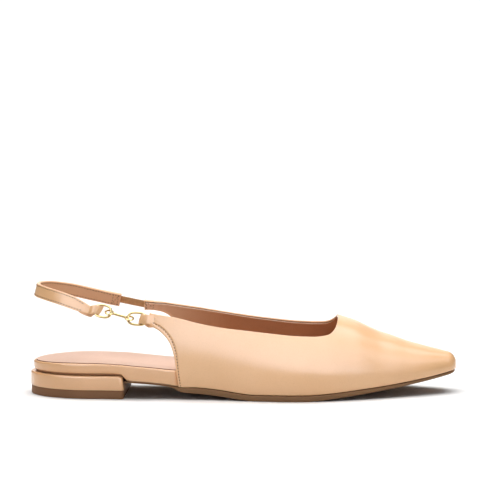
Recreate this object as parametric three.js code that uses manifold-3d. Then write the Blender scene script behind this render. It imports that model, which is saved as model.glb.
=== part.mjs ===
// Right sling back flat shoe, in millimetres
// X runs from heel to toe, -Y is the outer side of the foot, Z is up
import * as THREE from 'three';
import { mergeVertices } from 'three/addons/utils/BufferGeometryUtils.js';
import Module from 'manifold-3d';

const wasm = await Module();
wasm.setup();

// Driving dimensions of the shoe
const shoeLength = 264;
const ballWidth = 77;
const heelRadius = 40;             // length of the rounded back of the heel
const tipRadius = 5;               // length of the rounded end of the toe
const tipDrop = 5.4;               // how far the toe falls away at its very end
const throatHeight = 47.7;         // front of the opening above the floor
const throatX = 190;               // front of the opening from the heel
const throatDepth = 15;            // length of the rounded throat corners
const tuck = THREE.MathUtils.degToRad(15);   // how far the upper curls under its widest line

// Sole and heel
const heelHeight = 13.9;           // top of the heel block above the floor
const heelBreastX = 57.7;          // front face of the heel
const heelRestX = 30;              // the origin is on the floor under this point of the heel
const topPieceThickness = 5.1;
const toeSpring = 12.8;            // underside of the sole above the floor at the tip
const soleThickness = 3.6;
const soleTipSetback = 1.4;        // the sole ends behind the tip of the upper
const footbedThickness = 9.6;
const footbedHeelInset = 1.8;      // the heel block stands proud of the footbed
const sockThickness = 0.8;
const sockInset = 1;               // footbed edge left bare round the sock
const topPieceInset = 0.3;
const waistInset = 2;              // the sole stands back under the waist
const breastBlend = 8;             // footbed widens over this length on both sides of the heel's front
const edgeRound = 0.6;

// Upper
const upperWall = 1.6;
const upperInset = 0.6;            // upper's edge inside the edge of the sole
const tabReach = 3.4;              // from the end of the outer wing to its ring's wire
const tabRise = 0.07;              // slope of the front ring

// Strap, elastic and ornament
const strapWidth = 8;
const layerThickness = 1.1;        // one leather layer of strap and tab
const strapTaper = 0.9;            // how much narrower the strap is at its outer end
const strapTaperLength = 9;
const strapSpan = 50;              // between the two sides of the strap loop
const strapHeight = 64;            // middle of the strap at the back above the floor
const lean = THREE.MathUtils.degToRad(13);   // strap and rings lean in at the top
const elasticWidth = 4.8;
const elasticThickness = 0.9;
const elasticHold = 4;             // length of elastic inside each pocket
const pocketWall = 0.7;
const pocketRamp = 7;              // length over which a wall thickens to its pocket
const wireRadius = 0.75;
const ringLength = 8.4;            // between the middles of the wire
const ringHeight = 7.3;
const ringRoundness = 2.6;
const ringSideGap = 0.65;          // between a loop's edges and the ring's wire
const loopTail = 5.5;
const loopCavity = 3;              // how far the hollow of a loop runs into its tail
const wireBend = 1.0;              // room in a loop for the bend of the ring
const rearRingRise = 0.1;          // slope of the rear ring over the strap's own
const barRadius = 0.9;
const eyeWireRadius = 0.75;
const eyeClearance = 0.45;
const eyeStretch = 1.35;           // height of an eye over its wire's thickness

const fitGap = 0.3;                // between pieces that meet
const endTrim = 0.05;              // rounded ends stop this short of their last point
const edgeSkin = 0.11;             // a loop's tail ends this far under the leather it joins
const hollowEnd = 0.05;            // half the width of a loop's hollow at its closed end

const leather = { color: 0xe3b78e, roughness: 0.42, metalness: 0 };
const paleLeather = { color: 0xf0cdb4, roughness: 0.6, metalness: 0 };
const rubber = { color: 0x7a5638, roughness: 0.65, metalness: 0 };
const webbing = { color: 0xa5775a, roughness: 0.85, metalness: 0 };
const gold = { color: 0xd9b36a, roughness: 0.25, metalness: 1 };

const named = (names, rows) => rows.map(row => Object.fromEntries(names.map((name, i) => [name, row[i]])));

// Plan outline: outer and inner edge from the axis, as shares of the ball width
const outlineTable = named(['along', 'outer', 'inner'], [
  [0.000, 0.364, 0.364],
  [0.152, 0.364, 0.370],
  [0.227, 0.384, 0.357],
  [0.303, 0.383, 0.338],
  [0.379, 0.396, 0.351],
  [0.455, 0.435, 0.383],
  [0.530, 0.484, 0.422],
  [0.606, 0.513, 0.462],
  [0.682, 0.487, 0.481],
  [0.758, 0.414, 0.457],
  [0.833, 0.319, 0.409],
  [0.917, 0.201, 0.292],
  [1.000, 0.052, 0.156],
]);

// Sole: underside as shares of heel height and toe spring, thickness as a share of the sole thickness
const soleTable = named(['along', 'heelShare', 'springShare', 'thickness'], [
  [0.218, 0.720, 0.000, 0.25],
  [0.265, 0.662, 0.000, 0.25],
  [0.311, 0.576, 0.000, 0.25],
  [0.333, 0.504, 0.000, 0.31],
  [0.356, 0.317, 0.000, 0.75],
  [0.398, 0.259, 0.000, 0.97],
  [0.443, 0.173, 0.000, 1.00],
  [0.489, 0.058, 0.000, 0.97],
  [0.523, 0.000, 0.000, 1.00],
  [0.644, 0.000, 0.000, 1.00],
  [0.697, 0.000, 0.094, 0.86],
  [0.765, 0.000, 0.242, 0.75],
  [0.837, 0.000, 0.430, 0.58],
  [0.909, 0.000, 0.648, 0.50],
  [0.955, 0.000, 0.813, 0.45],
  [1.000, 0.000, 1.000, 0.45],
]);

const footbedTable = named(['along', 'thickness'], [
  [0.000, 0.90],
  [0.050, 0.96],
  [0.110, 1.00],
  [0.150, 0.99],
  [0.212, 0.94],
  [0.265, 0.90],
  [0.311, 0.90],
  [0.356, 0.97],
  [0.398, 0.84],
  [0.443, 0.74],
  [0.492, 0.62],
  [0.606, 0.47],
  [0.758, 0.36],
  [0.909, 0.31],
  [1.000, 0.26],
]);

// Last: height of the ridge as a share of the throat height, its sideways shift as a share of the ball width
const lastTable = named(['along', 'height', 'shift'], [
  [0.265, 1.761, 0.000],
  [0.341, 1.677, 0.000],
  [0.417, 1.572, 0.004],
  [0.492, 1.447, 0.010],
  [0.568, 1.300, 0.022],
  [0.644, 1.153, 0.038],
  [0.720, 1.000, 0.047],
  [0.758, 0.931, 0.049],
  [0.795, 0.836, 0.051],
  [0.818, 0.780, 0.052],
  [0.848, 0.725, 0.052],
  [0.886, 0.650, 0.052],
  [0.924, 0.593, 0.052],
  [0.962, 0.539, 0.052],
  [1.000, 0.484, 0.052],
]);

// Topline heights as shares of the throat height
const toplineTable = named(['along', 'outer', 'inner'], [
  [0.265, 1.135, 1.147],
  [0.295, 1.094, 1.130],
  [0.341, 1.048, 1.092],
  [0.398, 0.973, 1.042],
  [0.455, 0.922, 0.985],
  [0.511, 0.891, 0.933],
  [0.568, 0.857, 0.889],
  [0.625, 0.826, 0.855],
  [0.670, 0.811, 0.847],
]);

// Throat corners: setback behind the throat as a share of its depth
// Angle up the last as a share of a quarter turn
const throatTable = named(['setback', 'outer', 'inner'], [
  [0.667, 0.468, 0.506],
  [0.367, 0.520, 0.555],
  [0.147, 0.635, 0.650],
  [0.027, 0.815, 0.815],
  [0.000, 1.000, 1.000],
]);

// Rear edges of the wings, from tab or pocket down to the sole: heights as shares of the throat height
const wingEdgeTable = {
  outer: named(['along', 'height'], [
    [0.2814, 0.950],
    [0.2940, 0.914],
    [0.3080, 0.862],
    [0.3242, 0.759],
    [0.3333, 0.644],
    [0.3390, 0.516],
    [0.3436, 0.323],
  ]),
  inner: named(['along', 'height'], [
    [0.2633, 1.010],
    [0.2880, 1.008],
    [0.3110, 0.968],
    [0.3303, 0.885],
    [0.3428, 0.776],
    [0.3485, 0.671],
    [0.3515, 0.524],
    [0.3523, 0.314],
  ]),
};

// Where those edges end at the sole
const wingCornerShare = { outer: 0.3481, inner: 0.3523 };

// Where the wings' toplines pass into the sides
// Where the sections at the throat's corner and at the start of the toe stand on the sole
const wingTopShare = 0.39;
const throatFootShare = 0.685;
const vampFootShare = 0.765;

// Where the sole widens from waist to forepart, and where it draws back towards the tip
const soleOnset = { from: 0.325, to: 0.356 };
const tipOnset = 0.75;

// Strap loop from its outer end round the heel: shares of shoe length, half the span and the strap height
const strapTable = named(['along', 'across', 'height'], [
  [0.145, -0.976, 0.862],
  [0.120, -0.936, 0.892],
  [0.097, -0.880, 0.925],
  [0.074, -0.792, 0.953],
  [0.049, -0.648, 0.978],
  [0.028, -0.460, 0.994],
  [0.016, -0.240, 1.000],
  [0.013, 0.000, 1.001],
  [0.016, 0.240, 1.001],
  [0.028, 0.460, 0.997],
  [0.049, 0.648, 0.986],
  [0.074, 0.792, 0.967],
  [0.097, 0.880, 0.947],
  [0.133, 0.960, 0.909],
  [0.170, 1.000, 0.873],
  [0.206, 1.008, 0.842],
]);

const strapThickness = 2 * layerThickness;
const strapEndWidth = strapWidth - strapTaper;
const pocketThickness = elasticThickness + 2 * (fitGap + pocketWall);
const loopTipWidth = ringHeight - 2 * (wireRadius + ringSideGap);
const eyeHoleRadius = wireRadius + eyeClearance;
const wingEndX = {
  outer: wingEdgeTable.outer[0].along * shoeLength,
  inner: wingEdgeTable.inner[0].along * shoeLength,
};
const wingCornerX = {
  outer: wingCornerShare.outer * shoeLength,
  inner: wingCornerShare.inner * shoeLength,
};
const tipX = shoeLength - upperInset;
const innerInset = upperInset + upperWall / Math.cos(tuck) + fitGap;   // what fits inside the upper
const mix = THREE.MathUtils.lerp;
const vec = (x, y, z) => new THREE.Vector3(x, y, z);

// Value of a table's column at a share along the shoe: smooth between the rows and never past them
function valueAt(table, column, share) {
  const last = table.length - 1;
  const at = THREE.MathUtils.clamp(share, table[0].along, table[last].along);
  const found = table.findIndex(row => row.along >= at);
  const i = Math.max(found, 1) - 1;
  const slope = k => (table[k + 1][column] - table[k][column]) / (table[k + 1].along - table[k].along);
  const tangent = k => {
    const before = slope(Math.max(k - 1, 0));
    const after = slope(Math.min(k, last - 1));
    return before * after <= 0 ? 0 : (2 * before * after) / (before + after);
  };
  const step = table[i + 1].along - table[i].along;
  const t = (at - table[i].along) / step;
  const rise = t * t * (3 - 2 * t);
  const leave = t * (1 - t) * (1 - t);
  const arrive = t * t * (t - 1);
  return mix(table[i][column], table[i + 1][column], rise)
    + step * (leave * tangent(i) + arrive * tangent(i + 1));
}

// Edges of the shoe's plan outline at x, as Y of the outer and inner side
function baseEdges(x) {
  const outer = valueAt(outlineTable, 'outer', x / shoeLength) * ballWidth;
  const inner = valueAt(outlineTable, 'inner', x / shoeLength) * ballWidth;
  const heel = Math.max(0, 1 - x / heelRadius);
  const tip = Math.max(0, 1 - (shoeLength - x) / tipRadius);
  const half = 0.5 * (inner + outer) * Math.sqrt(1 - heel ** 2) * (1 - tip ** 2.2) ** (1 / 2.2);
  const middle = 0.5 * (inner - outer);
  return { outer: middle - half, inner: middle + half };
}

// The same outline moved inwards by an inset, as a function of x
function insetEdges(inset) {
  const count = 260;
  const spread = i => 0.5 - 0.5 * Math.cos((Math.PI * i) / count);
  const xs = Array.from({ length: count + 1 }, (_, i) => shoeLength * spread(i));
  const base = xs.map(baseEdges);
  const moved = {};
  for (const [side, inward] of [['outer', 1], ['inner', -1]]) {
    moved[side] = xs.map((x, i) => {
      const a = Math.max(i - 1, 0);
      const b = Math.min(i + 1, count);
      const along = new THREE.Vector2(xs[b] - xs[a], base[b][side] - base[a][side]).normalize();
      return [x - along.y * inset * inward, base[i][side] + along.x * inset * inward];
    });
  }
  const read = (points, x) => {
    const k = THREE.MathUtils.clamp(points.findIndex(point => point[0] >= x), 1, count);
    const [a, b] = [points[k - 1], points[k]];
    return mix(a[1], b[1], THREE.MathUtils.clamp((x - a[0]) / (b[0] - a[0]), 0, 1));
  };
  return x => ({ outer: read(moved.outer, x), inner: read(moved.inner, x) });
}

const soleUnder = x => valueAt(soleTable, 'heelShare', x / shoeLength) * heelHeight
  + valueAt(soleTable, 'springShare', x / shoeLength) * toeSpring;
const soleTop = x => soleUnder(x) + valueAt(soleTable, 'thickness', x / shoeLength) * soleThickness;
const footbedTop = x => soleTop(x) + fitGap
  + valueAt(footbedTable, 'thickness', x / shoeLength) * footbedThickness;

// Closed solid through rings of points that all have the same number of points
function loft(rings, closed = false) {
  const size = rings[0].length;
  const points = rings.flat();
  const index = [];
  const last = closed ? rings.length : rings.length - 1;
  for (let i = 0; i < last; i += 1) {
    for (let j = 0; j < size; j += 1) {
      const next = ((i + 1) % rings.length) * size;
      const a = i * size + j;
      const b = i * size + ((j + 1) % size);
      const c = next + ((j + 1) % size);
      const d = next + j;
      index.push(a, b, c, a, c, d);
    }
  }
  if (!closed) {
    for (const [ring, turn] of [[0, 1], [rings.length - 1, -1]]) {
      const middle = points.length;
      points.push(rings[ring].reduce((sum, p) => sum.add(p), vec(0, 0, 0)).divideScalar(size));
      for (let j = 0; j < size; j += 1) {
        const a = ring * size + j;
        const b = ring * size + ((j + 1) % size);
        index.push(...(turn > 0 ? [middle, b, a] : [middle, a, b]));
      }
    }
  }
  return outwards(points, index);
}

// Geometry from points and triangles, turned so that its faces point out
function outwards(points, index) {
  let volume = 0;
  for (let i = 0; i < index.length; i += 3) {
    const [a, b, c] = index.slice(i, i + 3).map(k => points[k]);
    volume += a.dot(b.clone().cross(c));
  }
  const ordered = volume < 0 ? index.toReversed() : index;
  const geometry = new THREE.BufferGeometry();
  geometry.setAttribute('position', new THREE.Float32BufferAttribute(points.flatMap(p => p.toArray()), 3));
  geometry.setIndex(ordered);
  return geometry;
}

function toSolid(geometry) {
  const bare = geometry.clone();
  bare.deleteAttribute('normal');
  bare.deleteAttribute('uv');
  const merged = mergeVertices(bare, 1e-5);
  return new wasm.Manifold(new wasm.Mesh({
    numProp: 3,
    vertProperties: Float32Array.from(merged.attributes.position.array),
    triVerts: Uint32Array.from(merged.index.array),
  }));
}

function fromSolid(solid) {
  const { vertProperties, triVerts } = solid.getMesh();
  const geometry = new THREE.BufferGeometry();
  geometry.setAttribute('position', new THREE.BufferAttribute(Float32Array.from(vertProperties), 3));
  geometry.setIndex(Array.from(triVerts));
  return geometry;
}

// Flat lying piece: one section across the shoe at each station, with its long edges eased
function slab(stations, edges, under, top) {
  return loft(stations.map(x => {
    const { outer, inner } = edges(x);
    const low = under(x);
    const high = top(x);
    const ease = Math.min(edgeRound, 0.3 * (inner - outer), 0.3 * (high - low));
    return [
      vec(x, outer + ease, low), vec(x, inner - ease, low),
      vec(x, inner, low + ease), vec(x, inner, high - ease),
      vec(x, inner - ease, high), vec(x, outer + ease, high),
      vec(x, outer, high - ease), vec(x, outer, low + ease),
    ];
  }));
}

// Stations from one x to another, closer together where an end is round
function stations(from, to, count, roundStart, roundEnd, extra = []) {
  const spread = t => {
    if (roundStart && roundEnd) return (1 - Math.cos(Math.PI * t)) / 2;
    if (roundStart) return 1 - Math.cos((Math.PI * t) / 2);
    return roundEnd ? Math.sin((Math.PI * t) / 2) : t;
  };
  const even = Array.from({ length: count + 1 }, (_, i) => mix(from, to, spread(i / count)));
  const wanted = extra.filter(x => x > from && x < to && even.every(other => Math.abs(other - x) > 0.2));
  return [...even, ...wanted].sort((a, b) => a - b);
}

function makeOutsole() {
  const waistEdges = insetEdges(waistInset);
  const foreEdges = insetEdges(0);
  const edges = x => {
    const onset = THREE.MathUtils.smoothstep(x, soleOnset.from * shoeLength, soleOnset.to * shoeLength);
    const stretched = x + soleTipSetback * THREE.MathUtils.smoothstep(x, tipOnset * shoeLength, shoeLength);
    const [a, b] = [waistEdges(x), foreEdges(stretched)];
    return { outer: mix(a.outer, b.outer, onset), inner: mix(a.inner, b.inner, onset) };
  };
  const from = heelBreastX + fitGap;
  const to = shoeLength - soleTipSetback - endTrim;
  const rows = soleTable.map(row => row.along * shoeLength);
  return slab(stations(from, to, 30, false, true, rows), edges, soleUnder, soleTop);
}

function makeHeelTopPiece() {
  const xs = stations(topPieceInset + endTrim, heelBreastX - topPieceInset, 16, true, false);
  return slab(xs, insetEdges(topPieceInset), () => 0, () => topPieceThickness);
}

function makeHeelBlock() {
  const xs = stations(endTrim, heelBreastX, 16, true, false);
  return slab(xs, insetEdges(0), () => topPieceThickness + fitGap, () => heelHeight);
}

function footbedEdges(extra) {
  const heel = insetEdges(footbedHeelInset + extra);
  const waist = insetEdges(upperInset + extra);
  const fore = insetEdges(innerInset + extra);
  return x => {
    const onset = THREE.MathUtils.smoothstep(x, heelBreastX - breastBlend, heelBreastX + breastBlend);
    const edge = side => (x > wingRootX[side] ? fore(x)[side] : mix(heel(x)[side], waist(x)[side], onset));
    return { outer: edge('outer'), inner: edge('inner') };
  };
}

// Stations of footbed and sock, with a pair close together at each abrupt step
function footbedStations(from, to, count, steps) {
  const pairs = steps.flatMap(x => [x - 0.01, x + 0.01]);
  const rest = stations(from, to, count, true, true).filter(x => pairs.every(p => Math.abs(p - x) > 0.5));
  return [...rest, ...pairs].sort((a, b) => a - b);
}

function makeFootbed() {
  const from = footbedHeelInset + endTrim;
  const to = shoeLength - innerInset - endTrim;
  const seat = heelBreastX + 2 * fitGap;
  const under = x => (x < seat ? heelHeight : soleTop(x)) + fitGap;
  const xs = footbedStations(from, to, 40, [seat, wingRootX.outer, wingRootX.inner]);
  return slab(xs, footbedEdges(0), under, footbedTop);
}

function makeSock() {
  const from = footbedHeelInset + sockInset + endTrim;
  const to = shoeLength - innerInset - sockInset - endTrim;
  const under = x => footbedTop(x) + fitGap;
  const xs = footbedStations(from, to, 36, [wingRootX.outer, wingRootX.inner]);
  return slab(xs, footbedEdges(sockInset), under, x => under(x) + sockThickness);
}

// Section of the last at x: half ellipses that stand on the sole and meet at the ridge
function lastSection(x) {
  const share = x / shoeLength;
  const base = soleTop(x) + fitGap;
  const tip = THREE.MathUtils.clamp(1 - (tipX - x) / tipRadius, 0, 1);
  const ridge = valueAt(lastTable, 'height', share) * throatHeight - tipDrop * (1 - Math.sqrt(1 - tip ** 2));
  const rise = (ridge - base) / (1 + Math.sin(tuck));
  return {
    widest: base + rise * Math.sin(tuck),
    rise,
    shift: valueAt(lastTable, 'shift', share) * ballWidth,
  };
}

const upperEdges = insetEdges(upperInset);

function upperPoint(side, x, angle) {
  const { widest, rise, shift } = lastSection(x);
  const reach = x >= tipX ? 0 : (upperEdges(x)[side] - shift) / Math.cos(tuck);
  return vec(x, shift + reach * Math.cos(angle), widest + rise * Math.sin(angle));
}

function angleAtHeight(x, height) {
  const { widest, rise } = lastSection(x);
  return Math.asin(THREE.MathUtils.clamp((height - widest) / rise, -Math.sin(tuck), 1));
}

// Unit vector out of the upper's surface
function upperNormal(side, x, angle) {
  const step = 0.01;
  const along = upperPoint(side, x + step, angle).sub(upperPoint(side, x - step, angle));
  const up = upperPoint(side, x, angle + step).sub(upperPoint(side, x, angle - step));
  const normal = along.cross(up).normalize();
  return normal.y * (side === 'outer' ? -1 : 1) < 0 ? normal.negate() : normal;
}

const spot = (x, angle) => ({ x, angle });
const footSpot = x => spot(x, -tuck);
const toplineHeight = (side, x) => valueAt(toplineTable, side, x / shoeLength) * throatHeight;
const toplineSpot = (side, x) => spot(x, angleAtHeight(x, toplineHeight(side, x)));

// Smooth edge through spots, with angles counted as lengths so that both directions weigh alike
function edgeCurve(spots) {
  const lengthOfTurn = 40;
  const flat = spots.map(({ x, angle }) => new THREE.Vector2(x, angle * lengthOfTurn));
  const curve = new THREE.SplineCurve(flat);
  return t => {
    const { x, y } = curve.getPointAt(t);
    return spot(x, y / lengthOfTurn);
  };
}

// Rear edge of a wing, from its end down to the sole
function wingEdge(side) {
  const spots = wingEdgeTable[side].map(row => {
    const x = row.along * shoeLength;
    return spot(x, angleAtHeight(x, row.height * throatHeight));
  });
  return edgeCurve([...spots, footSpot(wingCornerX[side])]);
}

// Where a wing's edge first passes beside the footbed
function firstOverFootbed(side) {
  const edge = wingEdge(side);
  const beside = Array.from({ length: 101 }, (_, i) => edge(i / 100)).filter(({ x, angle }) => {
    return upperPoint(side, x, angle).z < footbedTop(x) + 2 * fitGap + sockThickness;
  });
  return Math.min(...beside.map(({ x }) => x)) - fitGap;
}

const wingRootX = { outer: firstOverFootbed('outer'), inner: firstOverFootbed('inner') };

// Columns of one side of the upper, each from its lower to its upper edge
function upperColumns(side) {
  const counts = { wing: 9, waist: 12, throat: 7, vamp: 17 };
  const wingTopX = wingTopShare * shoeLength;
  const cornerX = throatX - throatDepth;
  const throatFootX = throatFootShare * shoeLength;
  const vampFootX = vampFootShare * shoeLength;
  const quarter = Math.PI / 2;
  const throatSpots = throatTable.map(row => {
    return spot(throatX - row.setback * throatDepth, row[side] * quarter);
  });
  const throat = edgeCurve([toplineSpot(side, cornerX), ...throatSpots]);
  const columns = [];
  const add = (count, lower, upper, end = 0) => {
    for (let i = 0; i < count + end; i += 1) {
      const t = i / count;
      columns.push({ lower: lower(t), upper: upper(t) });
    }
  };
  add(
    counts.wing,
    wingEdge(side),
    t => toplineSpot(side, mix(wingEndX[side], wingTopX, t)),
  );
  add(
    counts.waist,
    t => footSpot(mix(wingCornerX[side], throatFootX, t)),
    t => toplineSpot(side, mix(wingTopX, cornerX, t)),
  );
  add(counts.throat, t => footSpot(mix(throatFootX, vampFootX, t)), throat);
  const closer = t => Math.sin(quarter * t);
  add(
    counts.vamp,
    t => footSpot(mix(vampFootX, tipX, closer(t))),
    t => spot(mix(throatX, tipX, closer(t)), quarter),
    1,
  );
  return { columns, footFrom: counts.wing, vampFrom: counts.wing + counts.waist + counts.throat };
}

// Thickness of the upper's wall: the wing ends are thicker, for the folded tab and for the elastic's pocket
function wallAt(side, x) {
  const end = side === 'outer' ? strapThickness : pocketThickness;
  const endX = wingEndX[side] + pocketRamp;
  return mix(end, upperWall, THREE.MathUtils.smoothstep(x, endX - 1, endX + pocketRamp));
}

function makeUpperShell() {
  const rows = 10;
  const points = [];
  const walls = [];
  const feet = new Set();
  const known = new Map();
  const index = [];
  for (const side of ['outer', 'inner']) {
    const { columns, footFrom, vampFrom } = upperColumns(side);
    const last = columns.length - 1;
    const vertex = (c, r) => {
      const shared = c === last || (r === rows && c >= vampFrom);
      const key = shared ? `${c} ${r}` : `${side} ${c} ${r}`;
      if (!known.has(key)) {
        const { lower, upper } = columns[c];
        const x = mix(lower.x, upper.x, r / rows);
        known.set(key, points.length);
        if (r === 0 && c >= footFrom) feet.add(points.length);
        points.push(upperPoint(side, x, mix(lower.angle, upper.angle, r / rows)));
        walls.push(wallAt(side, x));
      }
      return known.get(key);
    };
    for (let c = 0; c < last; c += 1) {
      for (let r = 0; r < rows; r += 1) {
        const quad = [vertex(c, r), vertex(c + 1, r), vertex(c + 1, r + 1), vertex(c, r + 1)];
        const [p, q, s, t] = side === 'outer' ? quad : quad.toReversed();
        index.push(p, q, s, p, s, t);
      }
    }
  }
  const skin = new THREE.BufferGeometry();
  skin.setAttribute('position', new THREE.Float32BufferAttribute(points.flatMap(p => p.toArray()), 3));
  skin.setIndex(index);
  skin.computeVertexNormals();
  const count = points.length;
  const inner = points.map((point, i) => {
    const normal = vec(0, 0, 0).fromBufferAttribute(skin.attributes.normal, i);
    const moved = point.clone().addScaledVector(normal, -walls[i]);
    if (feet.has(i)) moved.z = point.z;
    return moved;
  });
  const edges = new Set();
  for (let i = 0; i < index.length; i += 3) {
    for (let k = 0; k < 3; k += 1) edges.add(`${index[i + k]} ${index[i + ((k + 1) % 3)]}`);
  }
  const lining = index.map(i => i + count).toReversed();
  const rim = [];
  for (const edge of edges) {
    const [a, b] = edge.split(' ').map(Number);
    if (!edges.has(`${b} ${a}`)) rim.push(b, a, a + count, b, a + count, b + count);
  }
  return outwards([...points, ...inner], [...index, ...lining, ...rim]);
}

// Frame of a band or ring: u towards the tip of the loop, v through the leather, w up the leather's width
function bandFrame(origin, direction, side) {
  const inward = side === 'outer' ? 1 : -1;
  const u = direction.clone().normalize();
  const up = vec(0, inward * Math.sin(lean), Math.cos(lean));
  const w = up.addScaledVector(u, -up.dot(u)).normalize();
  const v = w.clone().cross(u);
  return { origin, u, v, w, matrix: new THREE.Matrix4().makeBasis(u, v, w).setPosition(origin) };
}

// Outline of a drop: a round tip with a straight tail
function dropPoints(half, from, to, tail, tailHalf) {
  const turns = 8;
  const points = [[-tail, -tailHalf], [from, -half]];
  for (let i = 0; i <= turns; i += 1) {
    const angle = -Math.PI / 2 + (Math.PI * i) / turns;
    points.push([to + half * Math.cos(angle), half * Math.sin(angle)]);
  }
  points.push([from, half], [-tail, tailHalf]);
  return points.map(([x, y]) => new THREE.Vector2(x, y));
}

// Leather folded round a ring's wire, as wide as the band at its tail and narrow at its tip
function foldedLoop(frame, tailWidth) {
  const hollow = wireRadius + fitGap;
  const tailHalf = layerThickness - edgeSkin;
  const shape = new THREE.Shape(dropPoints(hollow + layerThickness, 0, wireBend, loopTail, tailHalf));
  shape.holes.push(new THREE.Path(dropPoints(hollow, 0, wireBend, loopCavity, hollowEnd)));
  const geometry = new THREE.ExtrudeGeometry(shape, { depth: 1, steps: 1, bevelEnabled: false });
  const position = geometry.attributes.position;
  for (let i = 0; i < position.count; i += 1) {
    const widen = THREE.MathUtils.clamp(-position.getX(i) / loopTail, 0, 1);
    position.setZ(i, (position.getZ(i) - 0.5) * mix(loopTipWidth, tailWidth, widen));
  }
  return geometry.applyMatrix4(frame.matrix);
}

const strapCurve = new THREE.CatmullRomCurve3(strapTable.map(row => vec(
  row.along * shoeLength,
  row.across * 0.5 * strapSpan,
  row.height * strapHeight,
)));

// Strap section at a share t of the loop, as a frame whose u runs along the strap
function strapFrame(t) {
  const tangent = strapCurve.getTangentAt(t);
  const outward = vec(tangent.y, -tangent.x, 0).normalize();
  if (outward.dot(strapCurve.getPointAt(t).sub(vec(heelRestX, 0, strapHeight))) < 0) outward.negate();
  const up = vec(0, 0, Math.cos(lean)).addScaledVector(outward, -Math.sin(lean));
  const w = up.addScaledVector(tangent, -up.dot(tangent)).normalize();
  return { origin: strapCurve.getPointAt(t), u: tangent, v: w.clone().cross(tangent), w };
}

// Strip through frames, with its width and thickness at each of them
function strip(frames, widths, thicknesses) {
  const ease = 0.3;
  return loft(frames.map(({ origin, v, w }, i) => {
    const a = 0.5 * thicknesses[i];
    const b = 0.5 * widths[i];
    const corners = [
      [-a, -b + ease], [-a + ease, -b], [a - ease, -b], [a, -b + ease],
      [a, b - ease], [a - ease, b], [-a + ease, b], [-a, b - ease],
    ];
    return corners.map(([p, q]) => origin.clone().addScaledVector(v, p).addScaledVector(w, q));
  }));
}

// Slot for the end of the elastic, cut in from a pocket's open end
function slotCutter(frame) {
  const depth = elasticHold + fitGap;
  const box = new THREE.BoxGeometry(2 * depth, elasticThickness + 2 * fitGap, elasticWidth + 2 * fitGap);
  const place = new THREE.Matrix4().makeBasis(frame.u, frame.v, frame.w).setPosition(frame.origin);
  return box.applyMatrix4(place);
}

// Middle of the wall of a wing, at a height above the floor
function wingMiddle(side, x, height) {
  const angle = angleAtHeight(x, height);
  return upperPoint(side, x, angle).addScaledVector(upperNormal(side, x, angle), -0.5 * wallAt(side, x));
}

const rearLoopDirection = strapCurve.getTangentAt(0).negate().add(vec(0, 0, rearRingRise)).normalize();
const rearFrame = bandFrame(
  strapCurve.getPointAt(0).addScaledVector(rearLoopDirection, 0.8 * loopTail), rearLoopDirection, 'outer');

const wingEndHeight = side => mix(
  wingEdgeTable[side][0].height * throatHeight,
  toplineHeight(side, wingEndX[side]),
  0.5,
);
const tabWireX = wingEndX.outer - tabReach;
const tabWire = wingMiddle('outer', tabWireX, wingEndHeight('outer'));
const tabRoot = wingMiddle('outer', tabWireX + loopTail, wingEndHeight('outer') - tabRise * loopTail);
const frontFrame = bandFrame(tabWire, tabWire.clone().sub(tabRoot), 'outer');

const strapEnd = strapFrame(1);
const wingEnd = wingMiddle('inner', wingEndX.inner, wingEndHeight('inner'));
const wingRoot = wingMiddle('inner', wingEndX.inner + elasticHold, wingEndHeight('inner'));
const wingFrame = bandFrame(wingEnd, wingRoot.clone().sub(wingEnd), 'inner');

function makeStrap() {
  const steps = 52;
  const frames = Array.from({ length: steps + 1 }, (_, i) => strapFrame(i / steps));
  const length = strapCurve.getLength();
  const thicknesses = frames.map((_, i) => {
    const left = length * (1 - i / steps);
    const thinning = THREE.MathUtils.smoothstep(left, pocketRamp, 2 * pocketRamp);
    return mix(pocketThickness, strapThickness, thinning);
  });
  const widths = frames.map((_, i) => {
    const passed = (length * i) / steps;
    return mix(strapEndWidth, strapWidth, THREE.MathUtils.smoothstep(passed, 0, strapTaperLength));
  });
  const body = toSolid(strip(frames, widths, thicknesses));
  const loop = toSolid(foldedLoop(rearFrame, strapEndWidth));
  return fromSolid(body.add(loop).subtract(toSolid(slotCutter(strapEnd))));
}

function makeUpper() {
  const shell = toSolid(makeUpperShell());
  const loop = toSolid(foldedLoop(frontFrame, strapWidth));
  return fromSolid(shell.add(loop).subtract(toSolid(slotCutter(wingFrame))));
}

function makeElastic() {
  const start = strapEnd.origin.clone().addScaledVector(strapEnd.u, -elasticHold);
  const end = wingFrame.origin.clone().addScaledVector(wingFrame.u, elasticHold);
  const curve = new THREE.CatmullRomCurve3([start, strapEnd.origin, wingFrame.origin, end]);
  const steps = 12;
  const frames = Array.from({ length: steps + 1 }, (_, i) => {
    const t = i / steps;
    const tangent = curve.getTangent(t);
    const w = strapEnd.w.clone().lerp(wingFrame.w, t);
    w.addScaledVector(tangent, -w.dot(tangent)).normalize();
    return { origin: curve.getPoint(t), v: w.clone().cross(tangent), w };
  });
  return strip(frames, frames.map(() => elasticWidth), frames.map(() => elasticThickness));
}

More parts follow.
